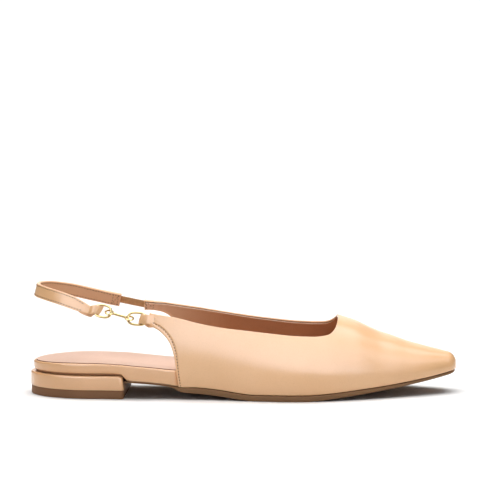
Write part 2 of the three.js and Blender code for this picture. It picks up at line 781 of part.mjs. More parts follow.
// Oval ring whose wire passes through the frame's origin
function makeRing({ origin, u, v, w }) {
  const steps = 28;
  const sides = 8;
  const rounded = value => Math.sign(value) * Math.abs(value) ** (2 / ringRoundness);
  const centre = angle => vec(0, 0, 0)
    .addScaledVector(u, 0.5 * ringLength * (1 + rounded(Math.cos(angle))))
    .addScaledVector(w, 0.5 * ringHeight * rounded(Math.sin(angle)))
    .add(origin);
  const rings = Array.from({ length: steps }, (_, i) => {
    const angle = (2 * Math.PI * (i + 0.5)) / steps;
    const along = centre(angle + 0.01).sub(centre(angle - 0.01)).normalize();
    const across = along.clone().cross(v);
    return Array.from({ length: sides }, (__, k) => {
      const turn = (2 * Math.PI * k) / sides;
      return centre(angle)
        .addScaledVector(across, wireRadius * Math.cos(turn))
        .addScaledVector(v, wireRadius * Math.sin(turn));
    });
  });
  return loft(rings, true);
}

// Bar with an eye round the wire of each ring
function makeBar() {
  const eyeRadius = eyeHoleRadius + eyeWireRadius;
  const ends = [rearFrame, frontFrame].map(({ origin, u }) => origin.clone().addScaledVector(u, ringLength));
  const direction = ends[1].clone().sub(ends[0]);
  const eyes = [rearFrame, frontFrame].map((frame, i) => {
    const eye = new THREE.TorusGeometry(eyeRadius, eyeWireRadius, 8, 18);
    eye.scale(1, 1, eyeStretch);
    const place = new THREE.Matrix4().makeBasis(frame.u, frame.v, frame.w).setPosition(ends[i]);
    return toSolid(eye.applyMatrix4(place));
  });
  const rod = new THREE.CylinderGeometry(barRadius, barRadius, direction.length() - 2 * eyeRadius, 10);
  const turn = new THREE.Quaternion().setFromUnitVectors(vec(0, 1, 0), direction.clone().normalize());
  rod.applyQuaternion(turn);
  const middle = ends[0].clone().add(ends[1]).multiplyScalar(0.5);
  rod.translate(middle.x, middle.y, middle.z);
  return fromSolid(toSolid(rod).add(eyes[0]).add(eyes[1]));
}

function piece(name, geometry, look) {
  const mesh = new THREE.Mesh(geometry, new THREE.MeshStandardMaterial(look));
  mesh.name = name;
  return mesh;
}

const shoe = new THREE.Group();
shoe.add(
  piece('upper', makeUpper(), leather),
  piece('footbed', makeFootbed(), leather),
  piece('insole_sock', makeSock(), paleLeather),
  piece('outsole', makeOutsole(), rubber),
  piece('heel_block', makeHeelBlock(), leather),
  piece('heel_top_piece', makeHeelTopPiece(), rubber),
  piece('sling_strap', makeStrap(), leather),
  piece('elastic_gore', makeElastic(), webbing),
  piece('front_ring', makeRing(frontFrame), gold),
  piece('rear_ring', makeRing(rearFrame), gold),
  piece('bit_bar', makeBar(), gold),
);

shoe.position.x = -heelRestX;

export default shoe;
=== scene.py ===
import math

import bmesh
import bpy
import numpy as np
from mathutils import Matrix, Vector
from mathutils.kdtree import KDTree


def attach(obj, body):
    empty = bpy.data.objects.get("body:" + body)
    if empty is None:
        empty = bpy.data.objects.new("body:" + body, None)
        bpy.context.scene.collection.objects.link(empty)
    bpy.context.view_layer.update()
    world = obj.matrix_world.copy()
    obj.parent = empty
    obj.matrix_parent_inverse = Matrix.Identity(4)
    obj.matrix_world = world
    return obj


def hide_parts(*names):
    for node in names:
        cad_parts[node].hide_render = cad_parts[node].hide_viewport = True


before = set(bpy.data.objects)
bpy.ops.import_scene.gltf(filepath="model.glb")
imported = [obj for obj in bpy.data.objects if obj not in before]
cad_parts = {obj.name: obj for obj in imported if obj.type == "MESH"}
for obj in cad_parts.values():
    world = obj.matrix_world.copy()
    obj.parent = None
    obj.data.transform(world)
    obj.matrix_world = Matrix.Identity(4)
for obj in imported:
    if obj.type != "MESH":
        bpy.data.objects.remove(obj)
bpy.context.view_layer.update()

# Right sling back flat on a pale studio floor. Shapes are worked out in millimetres from the heel's
# rearmost point, toe at +X, outer side of the foot at -Y, and turned to the frame's metres at the end.

print("frame loaded")

shoe = {
    "length": 264.0,
    "ballWidth": 77.0,
    "heelRound": 40.0,          # length of the rounded back of the heel
    "tipRound": 5.0,
    "tipDrop": 5.4,
    "throatHeight": 47.7,
    "throatFront": 190.0,
    "throatDepth": 15.0,
    "tuck": math.radians(15),   # how far the upper curls under its widest line
    "originX": 30.0,            # the frame's origin lies this far in front of the heel's back
    "fitGap": 0.3,
}
sole = {
    "heelHeight": 13.9,
    "heelBreast": 57.7,
    "topPiece": 5.1,
    "toeSpring": 12.8,
    "thickness": 3.6,
    "tipSetback": 1.4,
    "waistInset": 2.0,
    "footbed": 9.6,
    "footbedHeelInset": 1.8,
}

mm = 0.001


def smoothStep(value, start, end):
    t = np.clip((value - start) / (end - start), 0.0, 1.0)
    return t * t * (3.0 - 2.0 * t)


def smoothCurve(at, values):     # smooth between the rows of a table and never past them
    slopes = np.diff(values) / np.diff(at)
    before = np.append(slopes[0], slopes)
    after = np.append(slopes, slopes[-1])
    same = before * after > 0
    tangents = np.where(same, 2 * before * after / np.where(same, before + after, 1.0), 0.0)

    def read(share):
        s = np.clip(share, at[0], at[-1])
        i = np.clip(np.searchsorted(at, s, side="left") - 1, 0, len(at) - 2)
        step = at[i + 1] - at[i]
        t = (s - at[i]) / step
        rise = t * t * (3 - 2 * t)
        bend = t * (1 - t) * (1 - t) * tangents[i] + t * t * (t - 1) * tangents[i + 1]
        return values[i] + (values[i + 1] - values[i]) * rise + step * bend

    return read


def tableOf(names, rows):        # one smooth curve for each named column, over shares of the shoe's length
    rows = np.array(rows, float)
    return {name: smoothCurve(rows[:, 0], rows[:, i + 1]) for i, name in enumerate(names)}


# Plan outline from the axis, as shares of the ball width
outline = tableOf(["outer", "inner"], [
    (0.000, 0.364, 0.364), (0.152, 0.364, 0.370), (0.227, 0.384, 0.357), (0.303, 0.383, 0.338),
    (0.379, 0.396, 0.351), (0.455, 0.435, 0.383), (0.530, 0.484, 0.422), (0.606, 0.513, 0.462),
    (0.682, 0.487, 0.481), (0.758, 0.414, 0.457), (0.833, 0.319, 0.409), (0.917, 0.201, 0.292),
    (1.000, 0.052, 0.156),
])
# Underside of the sole as shares of heel height and toe spring, and its thickness as a share
soleForm = tableOf(["heelShare", "springShare", "thickness"], [
    (0.218, 0.720, 0.000, 0.25), (0.265, 0.662, 0.000, 0.25), (0.311, 0.576, 0.000, 0.25),
    (0.333, 0.504, 0.000, 0.31), (0.356, 0.317, 0.000, 0.75), (0.398, 0.259, 0.000, 0.97),
    (0.443, 0.173, 0.000, 1.00), (0.489, 0.058, 0.000, 0.97), (0.523, 0.000, 0.000, 1.00),
    (0.644, 0.000, 0.000, 1.00), (0.697, 0.000, 0.094, 0.86), (0.765, 0.000, 0.242, 0.75),
    (0.837, 0.000, 0.430, 0.58), (0.909, 0.000, 0.648, 0.50), (0.955, 0.000, 0.813, 0.45),
    (1.000, 0.000, 1.000, 0.45),
])
footbedForm = tableOf(["thickness"], [
    (0.000, 0.90), (0.050, 0.96), (0.110, 1.00), (0.150, 0.99), (0.212, 0.94), (0.265, 0.90),
    (0.311, 0.90), (0.356, 0.97), (0.398, 0.84), (0.443, 0.74), (0.492, 0.62), (0.606, 0.47),
    (0.758, 0.36), (0.909, 0.31), (1.000, 0.26),
])
# Ridge of the last as a share of the throat height, and its sideways shift as a share of the ball width
lastForm = tableOf(["height", "shift"], [
    (0.265, 1.761, 0.000), (0.341, 1.677, 0.000), (0.417, 1.572, 0.004), (0.492, 1.447, 0.010),
    (0.568, 1.300, 0.022), (0.644, 1.153, 0.038), (0.720, 1.000, 0.047), (0.758, 0.931, 0.049),
    (0.795, 0.836, 0.051), (0.818, 0.780, 0.052), (0.848, 0.725, 0.052), (0.886, 0.650, 0.052),
    (0.924, 0.593, 0.052), (0.962, 0.539, 0.052), (1.000, 0.484, 0.052),
])
topline = tableOf(["outer", "inner"], [
    (0.265, 1.135, 1.147), (0.295, 1.094, 1.130), (0.341, 1.048, 1.092), (0.398, 0.973, 1.042),
    (0.455, 0.922, 0.985), (0.511, 0.891, 0.933), (0.568, 0.857, 0.889), (0.625, 0.826, 0.855),
    (0.670, 0.811, 0.847),
])
# Throat corners: setback as a share of the throat depth, then the turn up the last on each side
throatCorner = {
    "outer": [(0.667, 0.468), (0.367, 0.520), (0.147, 0.635), (0.027, 0.815), (0.000, 1.000)],
    "inner": [(0.667, 0.506), (0.367, 0.555), (0.147, 0.650), (0.027, 0.815), (0.000, 1.000)],
}
# Rear edges of the wings down to the sole: shares of shoe length and throat height
wingEdgeForm = {
    "outer": [(0.2814, 0.950), (0.2940, 0.914), (0.3080, 0.862), (0.3242, 0.759),
              (0.3333, 0.644), (0.3390, 0.516), (0.3436, 0.323)],
    "inner": [(0.2633, 1.010), (0.2880, 1.008), (0.3110, 0.968), (0.3303, 0.885),
              (0.3428, 0.776), (0.3485, 0.671), (0.3515, 0.524), (0.3523, 0.314)],
}
wingCorner = {"outer": 0.3481, "inner": 0.3523}


def shareOf(x):
    return np.asarray(x, float) / shoe["length"]


def planEdges(x):                # Y of the outer and inner edge of the shoe's plan
    outer = outline["outer"](shareOf(x)) * shoe["ballWidth"]
    inner = outline["inner"](shareOf(x)) * shoe["ballWidth"]
    heel = np.maximum(0.0, 1.0 - x / shoe["heelRound"])
    tip = np.maximum(0.0, 1.0 - (shoe["length"] - x) / shoe["tipRound"])
    half = 0.5 * (inner + outer) * np.sqrt(1 - heel ** 2) * (1 - tip ** 2.2) ** (1 / 2.2)
    middle = 0.5 * (inner - outer)
    return middle - half, middle + half


def movedEdges(inset):           # the same edges moved in by a distance, as a function of x
    spread = 0.5 - 0.5 * np.cos(np.linspace(0, math.pi, 521))
    xs = shoe["length"] * spread
    read = []
    for edge, inward in zip(planEdges(xs), (1, -1)):
        along = np.stack([np.gradient(xs), np.gradient(edge)], 1)
        along[0] = (xs[1] - xs[0], edge[1] - edge[0])
        along[-1] = (xs[-1] - xs[-2], edge[-1] - edge[-2])
        along /= np.linalg.norm(along, axis=1)[:, None]
        movedX = np.maximum.accumulate(xs - along[:, 1] * inset * inward)
        read.append((movedX, edge + along[:, 0] * inset * inward))
    return lambda x: tuple(np.interp(x, *side) for side in read)


def soleUnder(x):
    return (soleForm["heelShare"](shareOf(x)) * sole["heelHeight"]
            + soleForm["springShare"](shareOf(x)) * sole["toeSpring"])


def soleTop(x):
    return soleUnder(x) + soleForm["thickness"](shareOf(x)) * sole["thickness"]


def footbedTop(x):
    return soleTop(x) + shoe["fitGap"] + footbedForm["thickness"](shareOf(x)) * sole["footbed"]


def pathThrough(points, detail=60):   # smooth path through points, read by the share of its length
    points = np.array(points, float)
    ends = np.vstack([points[:1], points, points[-1:]])
    t = np.linspace(0, 1, detail, endpoint=False)[:, None]
    dense = [0.5 * (2 * b + (c - a) * t + (2 * a - 5 * b + 4 * c - d) * t ** 2
                    + (3 * b - a - 3 * c + d) * t ** 3)
             for a, b, c, d in zip(ends, ends[1:], ends[2:], ends[3:])]
    dense = np.vstack(dense + [points[-1:]])
    lengths = np.append(0.0, np.cumsum(np.linalg.norm(np.diff(dense, axis=0), axis=1)))

    def read(share):
        at = np.asarray(share, float) * lengths[-1]
        return np.stack([np.interp(at, lengths, column) for column in dense.T], -1)

    read.length = lengths[-1]
    return read


# Materials

def linear(hexColour):           # sRGB hex to linear
    parts = [int(hexColour[i:i + 2], 16) / 255 for i in (1, 3, 5)]
    return (*[p / 12.92 if p <= 0.04045 else ((p + 0.055) / 1.055) ** 2.4 for p in parts], 1.0)


def perMetre(sizeMm):            # pattern scale for a feature of this size
    return 1000.0 / sizeMm


def setInputs(tree, node, values=None, links=None):
    for name, value in (values or {}).items():
        node.inputs[name].default_value = value
    for name, source in (links or {}).items():
        tree.links.new(source, node.inputs[name])


def addNode(tree, kind, values=None, links=None, **settings):
    node = tree.nodes.new(kind)
    for name, value in settings.items():
        setattr(node, name, value)
    setInputs(tree, node, values, links)
    return node


def startMaterial(name):
    material = bpy.data.materials.new(name)
    material.use_nodes = True
    tree = material.node_tree
    tree.nodes.clear()
    shader = addNode(tree, "ShaderNodeBsdfPrincipled")
    addNode(tree, "ShaderNodeOutputMaterial", links={"Surface": shader.outputs[0]})
    place = addNode(tree, "ShaderNodeTexCoord").outputs["Object"]
    return material, tree, shader, place


# Smooth finished leathers: a fine haircell grain, soft cloudy dye and a thin glossy top coat
def leatherMaterial(name, look):
    material, tree, shader, place = startMaterial(name)
    cloud = addNode(tree, "ShaderNodeTexNoise", {"Scale": perMetre(look["cloudMm"]), "Detail": 3.0},
                    {"Vector": place})
    grain = addNode(tree, "ShaderNodeTexVoronoi", {"Scale": perMetre(look["grainMm"]), "Randomness": 1.0},
                    {"Vector": place}, feature="SMOOTH_F1")
    wrinkle = addNode(tree, "ShaderNodeTexNoise",
                      {"Scale": perMetre(look["wrinkleMm"]), "Detail": 4.0, "Roughness": 0.6},
                      {"Vector": place})
    tone = addNode(tree, "ShaderNodeMapRange", {1: 0.3, 2: 0.7, 3: 0.0, 4: 1.0}, {0: cloud.outputs["Fac"]})
    dye = addNode(tree, "ShaderNodeMix", {6: linear(look["deep"]), 7: linear(look["pale"])},
                  {0: tone.outputs[0]}, data_type="RGBA")
    pores = addNode(tree, "ShaderNodeMapRange", {1: 0.35, 2: 0.75, 3: 0.0, 4: look["poreTint"]},
                    {0: grain.outputs["Distance"]})
    tinted = addNode(tree, "ShaderNodeMix", {7: linear(look["pore"])},
                     {0: pores.outputs[0], 6: dye.outputs[2]}, data_type="RGBA")
    relief = addNode(tree, "ShaderNodeMath", {1: look["wrinkleShare"]},
                     {0: wrinkle.outputs["Fac"], 2: grain.outputs["Distance"]}, operation="MULTIPLY_ADD")
    bump = addNode(tree, "ShaderNodeBump",
                   {"Strength": look["grainStrength"], "Distance": look["grainDepthMm"] * mm},
                   {"Height": relief.outputs[0]})
    gloss = addNode(tree, "ShaderNodeMapRange", {1: 0.3, 2: 0.7, 3: look["rough"][0], 4: look["rough"][1]},
                    {0: wrinkle.outputs["Fac"]})
    colour = tinted
    if "litTone" in look:           # painted light: paler towards the heel, where more light reaches the lining
        along = addNode(tree, "ShaderNodeSeparateXYZ", {}, {0: place})
        share = addNode(tree, "ShaderNodeMapRange", {1: look["litRun"][0] * mm, 2: look["litRun"][1] * mm,
                                                     3: look["litShare"], 4: 0.0}, {0: along.outputs[0]})
        colour = addNode(tree, "ShaderNodeMix", {7: linear(look["litTone"])},
                         {0: share.outputs[0], 6: tinted.outputs[2]}, data_type="RGBA")
    setInputs(tree, shader, {"IOR": 1.5, "Coat Weight": look["coat"], "Coat Roughness": look["coatRough"]},
              {"Base Color": colour.outputs[2], "Roughness": gloss.outputs[0], "Normal": bump.outputs[0]})
    return material


# Calf leather, drum dyed and plated: even colour with a soft sheen
calfLook = {
    "deep": "#EEBA85", "pale": "#F4C28F", "pore": "#CC9B69", "poreTint": 0.12,
    "cloudMm": 40.0, "grainMm": 0.6, "wrinkleMm": 2.4, "wrinkleShare": 0.35,
    "grainStrength": 0.12, "grainDepthMm": 0.03, "rough": (0.34, 0.4), "coat": 0.8, "coatRough": 0.26,
}
calfLeather = leatherMaterial("calfLeatherPlated", calfLook)
# The same leather on footbed and heel, coloured a shade deeper
heelCalf = leatherMaterial("heelCalfLeather", dict(calfLook, deep="#E2AC78", pale="#E8B482"))
# Cut leather edge, raw and stained, coloured darker still as painted shade of the gap between sock and rim: drawn
# as the thin dark line along the sock
stainedEdgeAndShade = leatherMaterial("stainedEdgeAndPaintedShade", dict(
    calfLook, deep="#5E3D26", pale="#6E4A30", grainStrength=0.05, rough=(0.6, 0.7), coat=0.0))
# Flesh side of the upper's leather, coloured dark brown and matt as painted shade: seen as the shadowed line above
# the lining and in the hollows of the tabs' folds
fleshSideShade = leatherMaterial("fleshSidePaintedShade", dict(
    calfLook, deep="#6B432B", pale="#7A4F35", grainStrength=0.1, rough=(0.75, 0.85), coat=0.0))
# Goat lining leather: duller and browner than the upper, with an open grain, and painted light that makes it paler
# towards the heel
liningLeather = leatherMaterial("goatLiningLeather", dict(
    calfLook, deep="#B67D54", pale="#C0885F", pore="#966340", grainMm=0.9, grainStrength=0.15,
    rough=(0.46, 0.54), coat=0.05, litTone="#E3B896", litRun=(48, 92), litShare=0.85))
# Lining side of the strap: the same calf, undyed on top and a little pinker, and coloured darker as painted shade
# of the strap's side towards the foot
strapLiningAndShade = leatherMaterial("strapLiningPinkAndShade", dict(
    calfLook, deep="#DDAA80", pale="#E4B58D", pore="#BC885E", rough=(0.42, 0.5), coat=0.1))
# Heel breast and the footbed's tuck over the heel: leather coloured dark brown and left matt, as painted shade
# where they lie under the arch and the rim
breastAndTuckShade = leatherMaterial("breastAndTuckPaintedShade", dict(
    calfLook, deep="#8A6446", pale="#967051", grainStrength=0.1, rough=(0.75, 0.85), coat=0.0))
# Binding of the lining's edge: the upper's own leather, painted a little paler as a highlight along the edge
bindingWithHighlight = leatherMaterial("liningBindingHighlight", dict(calfLook, deep="#EDC6A0", pale="#F2CDA9"))
# Sheep sock leather: pale pink beige, matt and soft
sockLeather = leatherMaterial("sheepSockLeather", dict(
    calfLook, deep="#C6A088", pale="#D0AC95", pore="#A97D64", cloudMm=26.0, grainMm=0.8,
    grainStrength=0.12, rough=(0.44, 0.52), coat=0.05))


# Moulded thermoplastic rubber: even brown, satin, with a fine spark eroded texture
def rubberMaterial(name, look):
    material, tree, shader, place = startMaterial(name)
    speckle = addNode(tree, "ShaderNodeTexNoise", {"Scale": perMetre(look["textureMm"]), "Detail": 3.0},
                      {"Vector": place})
    cloud = addNode(tree, "ShaderNodeTexNoise", {"Scale": perMetre(look["cloudMm"]), "Detail": 2.0},
                    {"Vector": place})
    colour = addNode(tree, "ShaderNodeMix", {6: linear(look["deep"]), 7: linear(look["pale"])},
                     {0: cloud.outputs["Fac"]}, data_type="RGBA")
    bump = addNode(tree, "ShaderNodeBump", {"Strength": look["strength"], "Distance": look["depthMm"] * mm},
                   {"Height": speckle.outputs["Fac"]})
    gloss = addNode(tree, "ShaderNodeMapRange", {1: 0.3, 2: 0.7, 3: look["rough"][0], 4: look["rough"][1]},
                    {0: speckle.outputs["Fac"]})
    setInputs(tree, shader, {"IOR": 1.52, "Specular IOR Level": 0.3},
              {"Base Color": colour.outputs[2], "Roughness": gloss.outputs[0], "Normal": bump.outputs[0]})
    return material


soleRubber = rubberMaterial("mouldedSoleRubber", {
    "deep": "#795838", "pale": "#856241", "cloudMm": 18.0, "textureMm": 0.6,
    "strength": 0.25, "depthMm": 0.05, "rough": (0.62, 0.72)})
topPieceRubber = rubberMaterial("topPieceRubber", {
    "deep": "#795436", "pale": "#855E3F", "cloudMm": 14.0, "textureMm": 0.6,
    "strength": 0.2, "depthMm": 0.05, "rough": (0.6, 0.7)})

# Polyester thread: tan, darkened well below the leather by painted shade of the needle holes, with a slight sheen
threadWithHoleShade, threadTree, threadShader, threadPlace = startMaterial("polyesterThreadHoleShade")
twist = addNode(threadTree, "ShaderNodeTexNoise", {"Scale": perMetre(0.5), "Detail": 2.0},
                {"Vector": threadPlace})
threadShadeTone = addNode(threadTree, "ShaderNodeMix", {6: linear("#6A4329"), 7: linear("#83583A")},
                     {0: twist.outputs["Fac"]}, data_type="RGBA")
setInputs(threadTree, threadShader, {"Roughness": 0.55}, {"Base Color": threadShadeTone.outputs[2]})

# Ribbed elastic: woven polyester over rubber, matt
webbing, webTree, webShader, webPlace = startMaterial("wovenElastic")
yarn = addNode(webTree, "ShaderNodeTexNoise", {"Scale": perMetre(0.6), "Detail": 3.0}, {"Vector": webPlace})
webTone = addNode(webTree, "ShaderNodeMix", {6: linear("#A5764A"), 7: linear("#CA9A68")},
                  {0: yarn.outputs["Fac"]}, data_type="RGBA")
webBump = addNode(webTree, "ShaderNodeBump", {"Strength": 0.5, "Distance": 0.1 * mm},
                  {"Height": yarn.outputs["Fac"]})
setInputs(webTree, webShader, {"Roughness": 0.8, "Sheen Weight": 0.3},
          {"Base Color": webTone.outputs[2], "Normal": webBump.outputs[0]})

# Zinc casting, polished and plated pale gold: clear reflections with fine wear in the plating
gold, goldTree, goldShader, goldPlace = startMaterial("paleGoldPlate")
wear = addNode(goldTree, "ShaderNodeTexNoise", {"Scale": perMetre(1.6), "Detail": 4.0}, {"Vector": goldPlace})
goldTone = addNode(goldTree, "ShaderNodeMix", {6: linear("#C4A46A"), 7: linear("#DCC48C")},
                   {0: wear.outputs["Fac"]}, data_type="RGBA")
goldGloss = addNode(goldTree, "ShaderNodeMapRange", {1: 0.3, 2: 0.7, 3: 0.1, 4: 0.18},
                    {0: wear.outputs["Fac"]})
setInputs(goldTree, goldShader, {"Metallic": 1.0},
          {"Base Color": goldTone.outputs[2], "Roughness": goldGloss.outputs[0]})
print("materials made")


# Pieces

def toFrame(points):             # millimetres from the heel's back to the frame's metres
    return (np.asarray(points, float) - (shoe["originX"], 0, 0)) * mm


def newObject(name, data):
    made = bpy.data.objects.new(name, data)
    bpy.context.scene.collection.objects.link(made)
    return made


def quadsBetween(rings, size, closed=False):     # quads that join each ring of points to the next
    quads = []
    for i in range(rings if closed else rings - 1):
        here, there = i * size, (i + 1) % rings * size
        for j in range(size):
            n = (j + 1) % size
            quads.append((here + j, here + n, there + n, there + j))
    return quads


def addPiece(name, points, faces, materials, replaced=(), faceMaterials=None):
    mesh = bpy.data.meshes.new(name)
    mesh.from_pydata(toFrame(points).tolist(), [], [tuple(int(i) for i in face) for face in faces])
    for material in materials:
        mesh.materials.append(material)
    if faceMaterials is not None:
        mesh.polygons.foreach_set("material_index", np.asarray(faceMaterials, np.int32))
    work = bmesh.new()
    work.from_mesh(mesh)
    bmesh.ops.remove_doubles(work, verts=work.verts, dist=0.002 * mm)
    bmesh.ops.recalc_face_normals(work, faces=work.faces)
    work.to_mesh(mesh)
    work.free()
    mesh.shade_smooth()
    return seatPiece(newObject(name, mesh), replaced)


def seatPiece(piece, replaced=()):
    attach(piece, "root")
    if replaced:
        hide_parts(*replaced)
    return piece


def bakePiece(piece):            # what the modifiers make becomes the piece's own mesh
    graph = bpy.context.evaluated_depsgraph_get()
    made = bpy.data.meshes.new_from_object(
        piece.evaluated_get(graph), preserve_all_data_layers=True, depsgraph=graph)
    piece.modifiers.clear()
    piece.data = made
    return piece


# Flat lying pieces: an outline at each layer, stacked from the underside to the top, with both ends closed

def spreadStations(start, end, count):
    return start + (end - start) * (0.5 - 0.5 * np.cos(np.linspace(0, math.pi, count)))


def layeredPiece(name, stations, edges, layers, across, finishes, replaced,
                 surface=None, sideLayers=0, warp=None):
    # the first finish covers the piece and the second its lowest side layers
    xs = np.asarray(stations, float)
    low, high = edges(xs)
    shares = np.linspace(0, 1, across + 1)
    starts = low[0] + (high[0] - low[0]) * shares[1:-1]
    ends = low[-1] + (high[-1] - low[-1]) * shares[1:-1]
    ring = np.vstack([
        np.stack([xs, low], 1),
        np.stack([np.full(across - 1, xs[-1]), ends], 1),
        np.stack([xs, high], 1)[::-1],
        np.stack([np.full(across - 1, xs[0]), starts], 1)[::-1],
    ])
    before = ring - np.roll(ring, 1, axis=0)
    after = np.roll(ring, -1, axis=0) - ring
    before /= np.maximum(np.linalg.norm(before, axis=1), 1e-9)[:, None]
    after /= np.maximum(np.linalg.norm(after, axis=1), 1e-9)[:, None]
    along = before + after
    along /= np.maximum(np.linalg.norm(along, axis=1), 1e-9)[:, None]
    inward = np.stack([-along[:, 1], along[:, 0]], 1)
    mitre = 1 / np.clip(np.abs((along * after).sum(1)), 0.6, 1)
    points = []
    size = len(ring)
    for inset, height in layers:
        if callable(inset):
            inset = inset(ring[:, 0])
        moved = ring + inward * (inset * mitre)[:, None]
        points.extend(np.column_stack([moved, height(moved[:, 0])]).tolist())
    faces = quadsBetween(len(layers), size)
    sideFaces = sideLayers * size
    count = len(xs)
    lowSide = list(range(count))
    highSide = list(range(count + across - 1, 2 * count + across - 1))[::-1]
    endLine = list(range(count, count + across - 1))
    startLine = list(range(2 * count + across - 1, size))[::-1]
    for k in (0, len(layers) - 1):
        base = k * size
        inset, height = layers[k]
        grid = np.zeros((count, across + 1), int)
        for i in range(count):
            a = np.array(points[base + lowSide[i]])
            b = np.array(points[base + highSide[i]])
            grid[i, 0] = base + lowSide[i]
            grid[i, -1] = base + highSide[i]
            for j in range(1, across):
                if i == count - 1:
                    grid[i, j] = base + endLine[j - 1]
                elif i == 0:
                    grid[i, j] = base + startLine[j - 1]
                else:
                    p = a + (b - a) * shares[j]
                    z = height(p[0])
                    if k and surface:
                        z = z + surface(p[0], p[1], shares[j])
                    grid[i, j] = len(points)
                    points.append([p[0], p[1], float(z)])
        for i in range(count - 1):
            for j in range(across):
                faces.append((grid[i, j], grid[i + 1, j], grid[i + 1, j + 1], grid[i, j + 1]))
    chosen = [1 if i < sideFaces else 0 for i in range(len(faces))]
    points = np.array(points)
    return addPiece(name, warp(points) if warp else points, faces, finishes, replaced, chosen)


def roundedLayers(under, top, lowRound, highRound, steps=5, tuck=None, lowRise=None, highRise=None):
    # tuck, lowRise and highRise give the roundings their own depth and heights along the piece
    tuck = tuck or (lambda x: lowRound)
    lowRise = lowRise or (lambda x: lowRound)
    highRise = highRise or (lambda x: highRound)
    turns = [0.5 * math.pi * k / steps for k in range(steps + 1)]
    low = [(lambda x, turn=turn: tuck(x) * (1 - math.sin(turn)),
            lambda x, turn=turn: under(x) + lowRise(x) * (1 - math.cos(turn))) for turn in turns]
    high = [(highRound * (1 - math.cos(turn)),
             lambda x, turn=turn: top(x) - highRise(x) * (1 - math.sin(turn))) for turn in turns]
    return low + high


def cornered(edges, end, radius):    # edges that round their corners before a straight end
    def read(x):
        low, high = edges(x)
        into = np.clip((x - (end - radius)) / radius, 0, 1)
        draw = radius * (1 - np.sqrt(1 - into ** 2))
        return low + draw, high - draw
    return read


heel = {
    "topPieceInset": 0.3,
    "topPieceRound": 0.35,
    "cornerRound": 2.4,
    "topRound": 1.0,
    "lowRound": 0.4,
    "breastNear": 0.9,           # the breast lies this far in front of a straight one, at the outer side
    "breastFar": 3.6,            # and this far at the inner side
    "breastRake": 1.9,           # it leans forward by this much up to the waist
    "chamferFrom": 10.5,         # above this height it slopes back under the footbed
    "chamferSlope": 1.1,
    "halfWidth": 28.0,
    "breastRun": 11.0,           # the lean fades out over this length
    "breastShadeFacing": 0.85,        # faces turned forward by more than this take the breast's painted shade
    "stations": 90,
    "across": 16,
}


def breastShaped(points):        # leans and turns the heel's front face
    x, y, z = points.T
    far = np.clip((y + heel["halfWidth"]) / (2 * heel["halfWidth"]), 0, 1)
    high = np.clip((z - sole["topPiece"]) / (heel["chamferFrom"] - sole["topPiece"]), 0, 1)
    forward = heel["breastNear"] + (heel["breastFar"] - heel["breastNear"]) * far
    forward = forward + heel["breastRake"] * high * (1 - far)
    forward = forward - heel["chamferSlope"] * np.maximum(0, z - heel["chamferFrom"])
    weight = smoothStep(x, sole["heelBreast"] - heel["breastRun"], sole["heelBreast"])
    return np.column_stack([x + forward * weight, y, z])


layeredPiece(
    "heelTopPiece", spreadStations(0.32, sole["heelBreast"] - heel["topPieceInset"], heel["stations"]),
    cornered(movedEdges(heel["topPieceInset"]), sole["heelBreast"] - heel["topPieceInset"],
             heel["cornerRound"]),
    roundedLayers(lambda x: 0.0 * x, lambda x: 0.0 * x + sole["topPiece"] + 0.15,
                  heel["lowRound"], heel["topPieceRound"]),
    heel["across"], [topPieceRubber], ["heel_top_piece"], warp=breastShaped)
heelCover = layeredPiece(
    "heelCover", spreadStations(0.02, sole["heelBreast"] - 0.02, heel["stations"]),
    cornered(movedEdges(0.0), sole["heelBreast"], heel["cornerRound"]),
    roundedLayers(lambda x: 0.0 * x + sole["topPiece"] + 0.25, lambda x: 0.0 * x + sole["heelHeight"],
                  heel["lowRound"], heel["topRound"]),
    heel["across"], [heelCalf, breastAndTuckShade], ["heel_block"], warp=breastShaped)
# the breast's faces are painted dark as shade
for face in heelCover.data.polygons:
    if face.normal.x > heel["breastShadeFacing"]:
        face.material_index = 1


outsoleLook = {"edgeRound": 0.55, "stations": 170, "across": 20, "onset": (0.325, 0.356), "tipOnset": 0.75}


def outsoleEdges(x):
    waist = movedEdges(sole["waistInset"])(x)
    stretched = x + sole["tipSetback"] * smoothStep(shareOf(x), outsoleLook["tipOnset"], 1.0)
    fore = planEdges(np.minimum(stretched, shoe["length"]))
    onset = smoothStep(shareOf(x), *outsoleLook["onset"])
    return tuple(a + (b - a) * onset for a, b in zip(waist, fore))


def thinRound(x):                # the sole's edge is rounded less where the sole is thin
    return np.minimum(outsoleLook["edgeRound"], 0.45 * (soleTop(x) - soleUnder(x)))


layeredPiece(
    "outsole", spreadStations(sole["heelBreast"] + 0.3, shoe["length"] - sole["tipSetback"] - 0.02,
                              outsoleLook["stations"]),
    outsoleEdges, roundedLayers(soleUnder, soleTop, outsoleLook["edgeRound"], outsoleLook["edgeRound"], 4,
                                lowRise=thinRound, highRise=thinRound),
    outsoleLook["across"], [soleRubber], ["outsole"])
print("heel and sole made")

# Upper: last sections stand on the sole and meet at the ridge

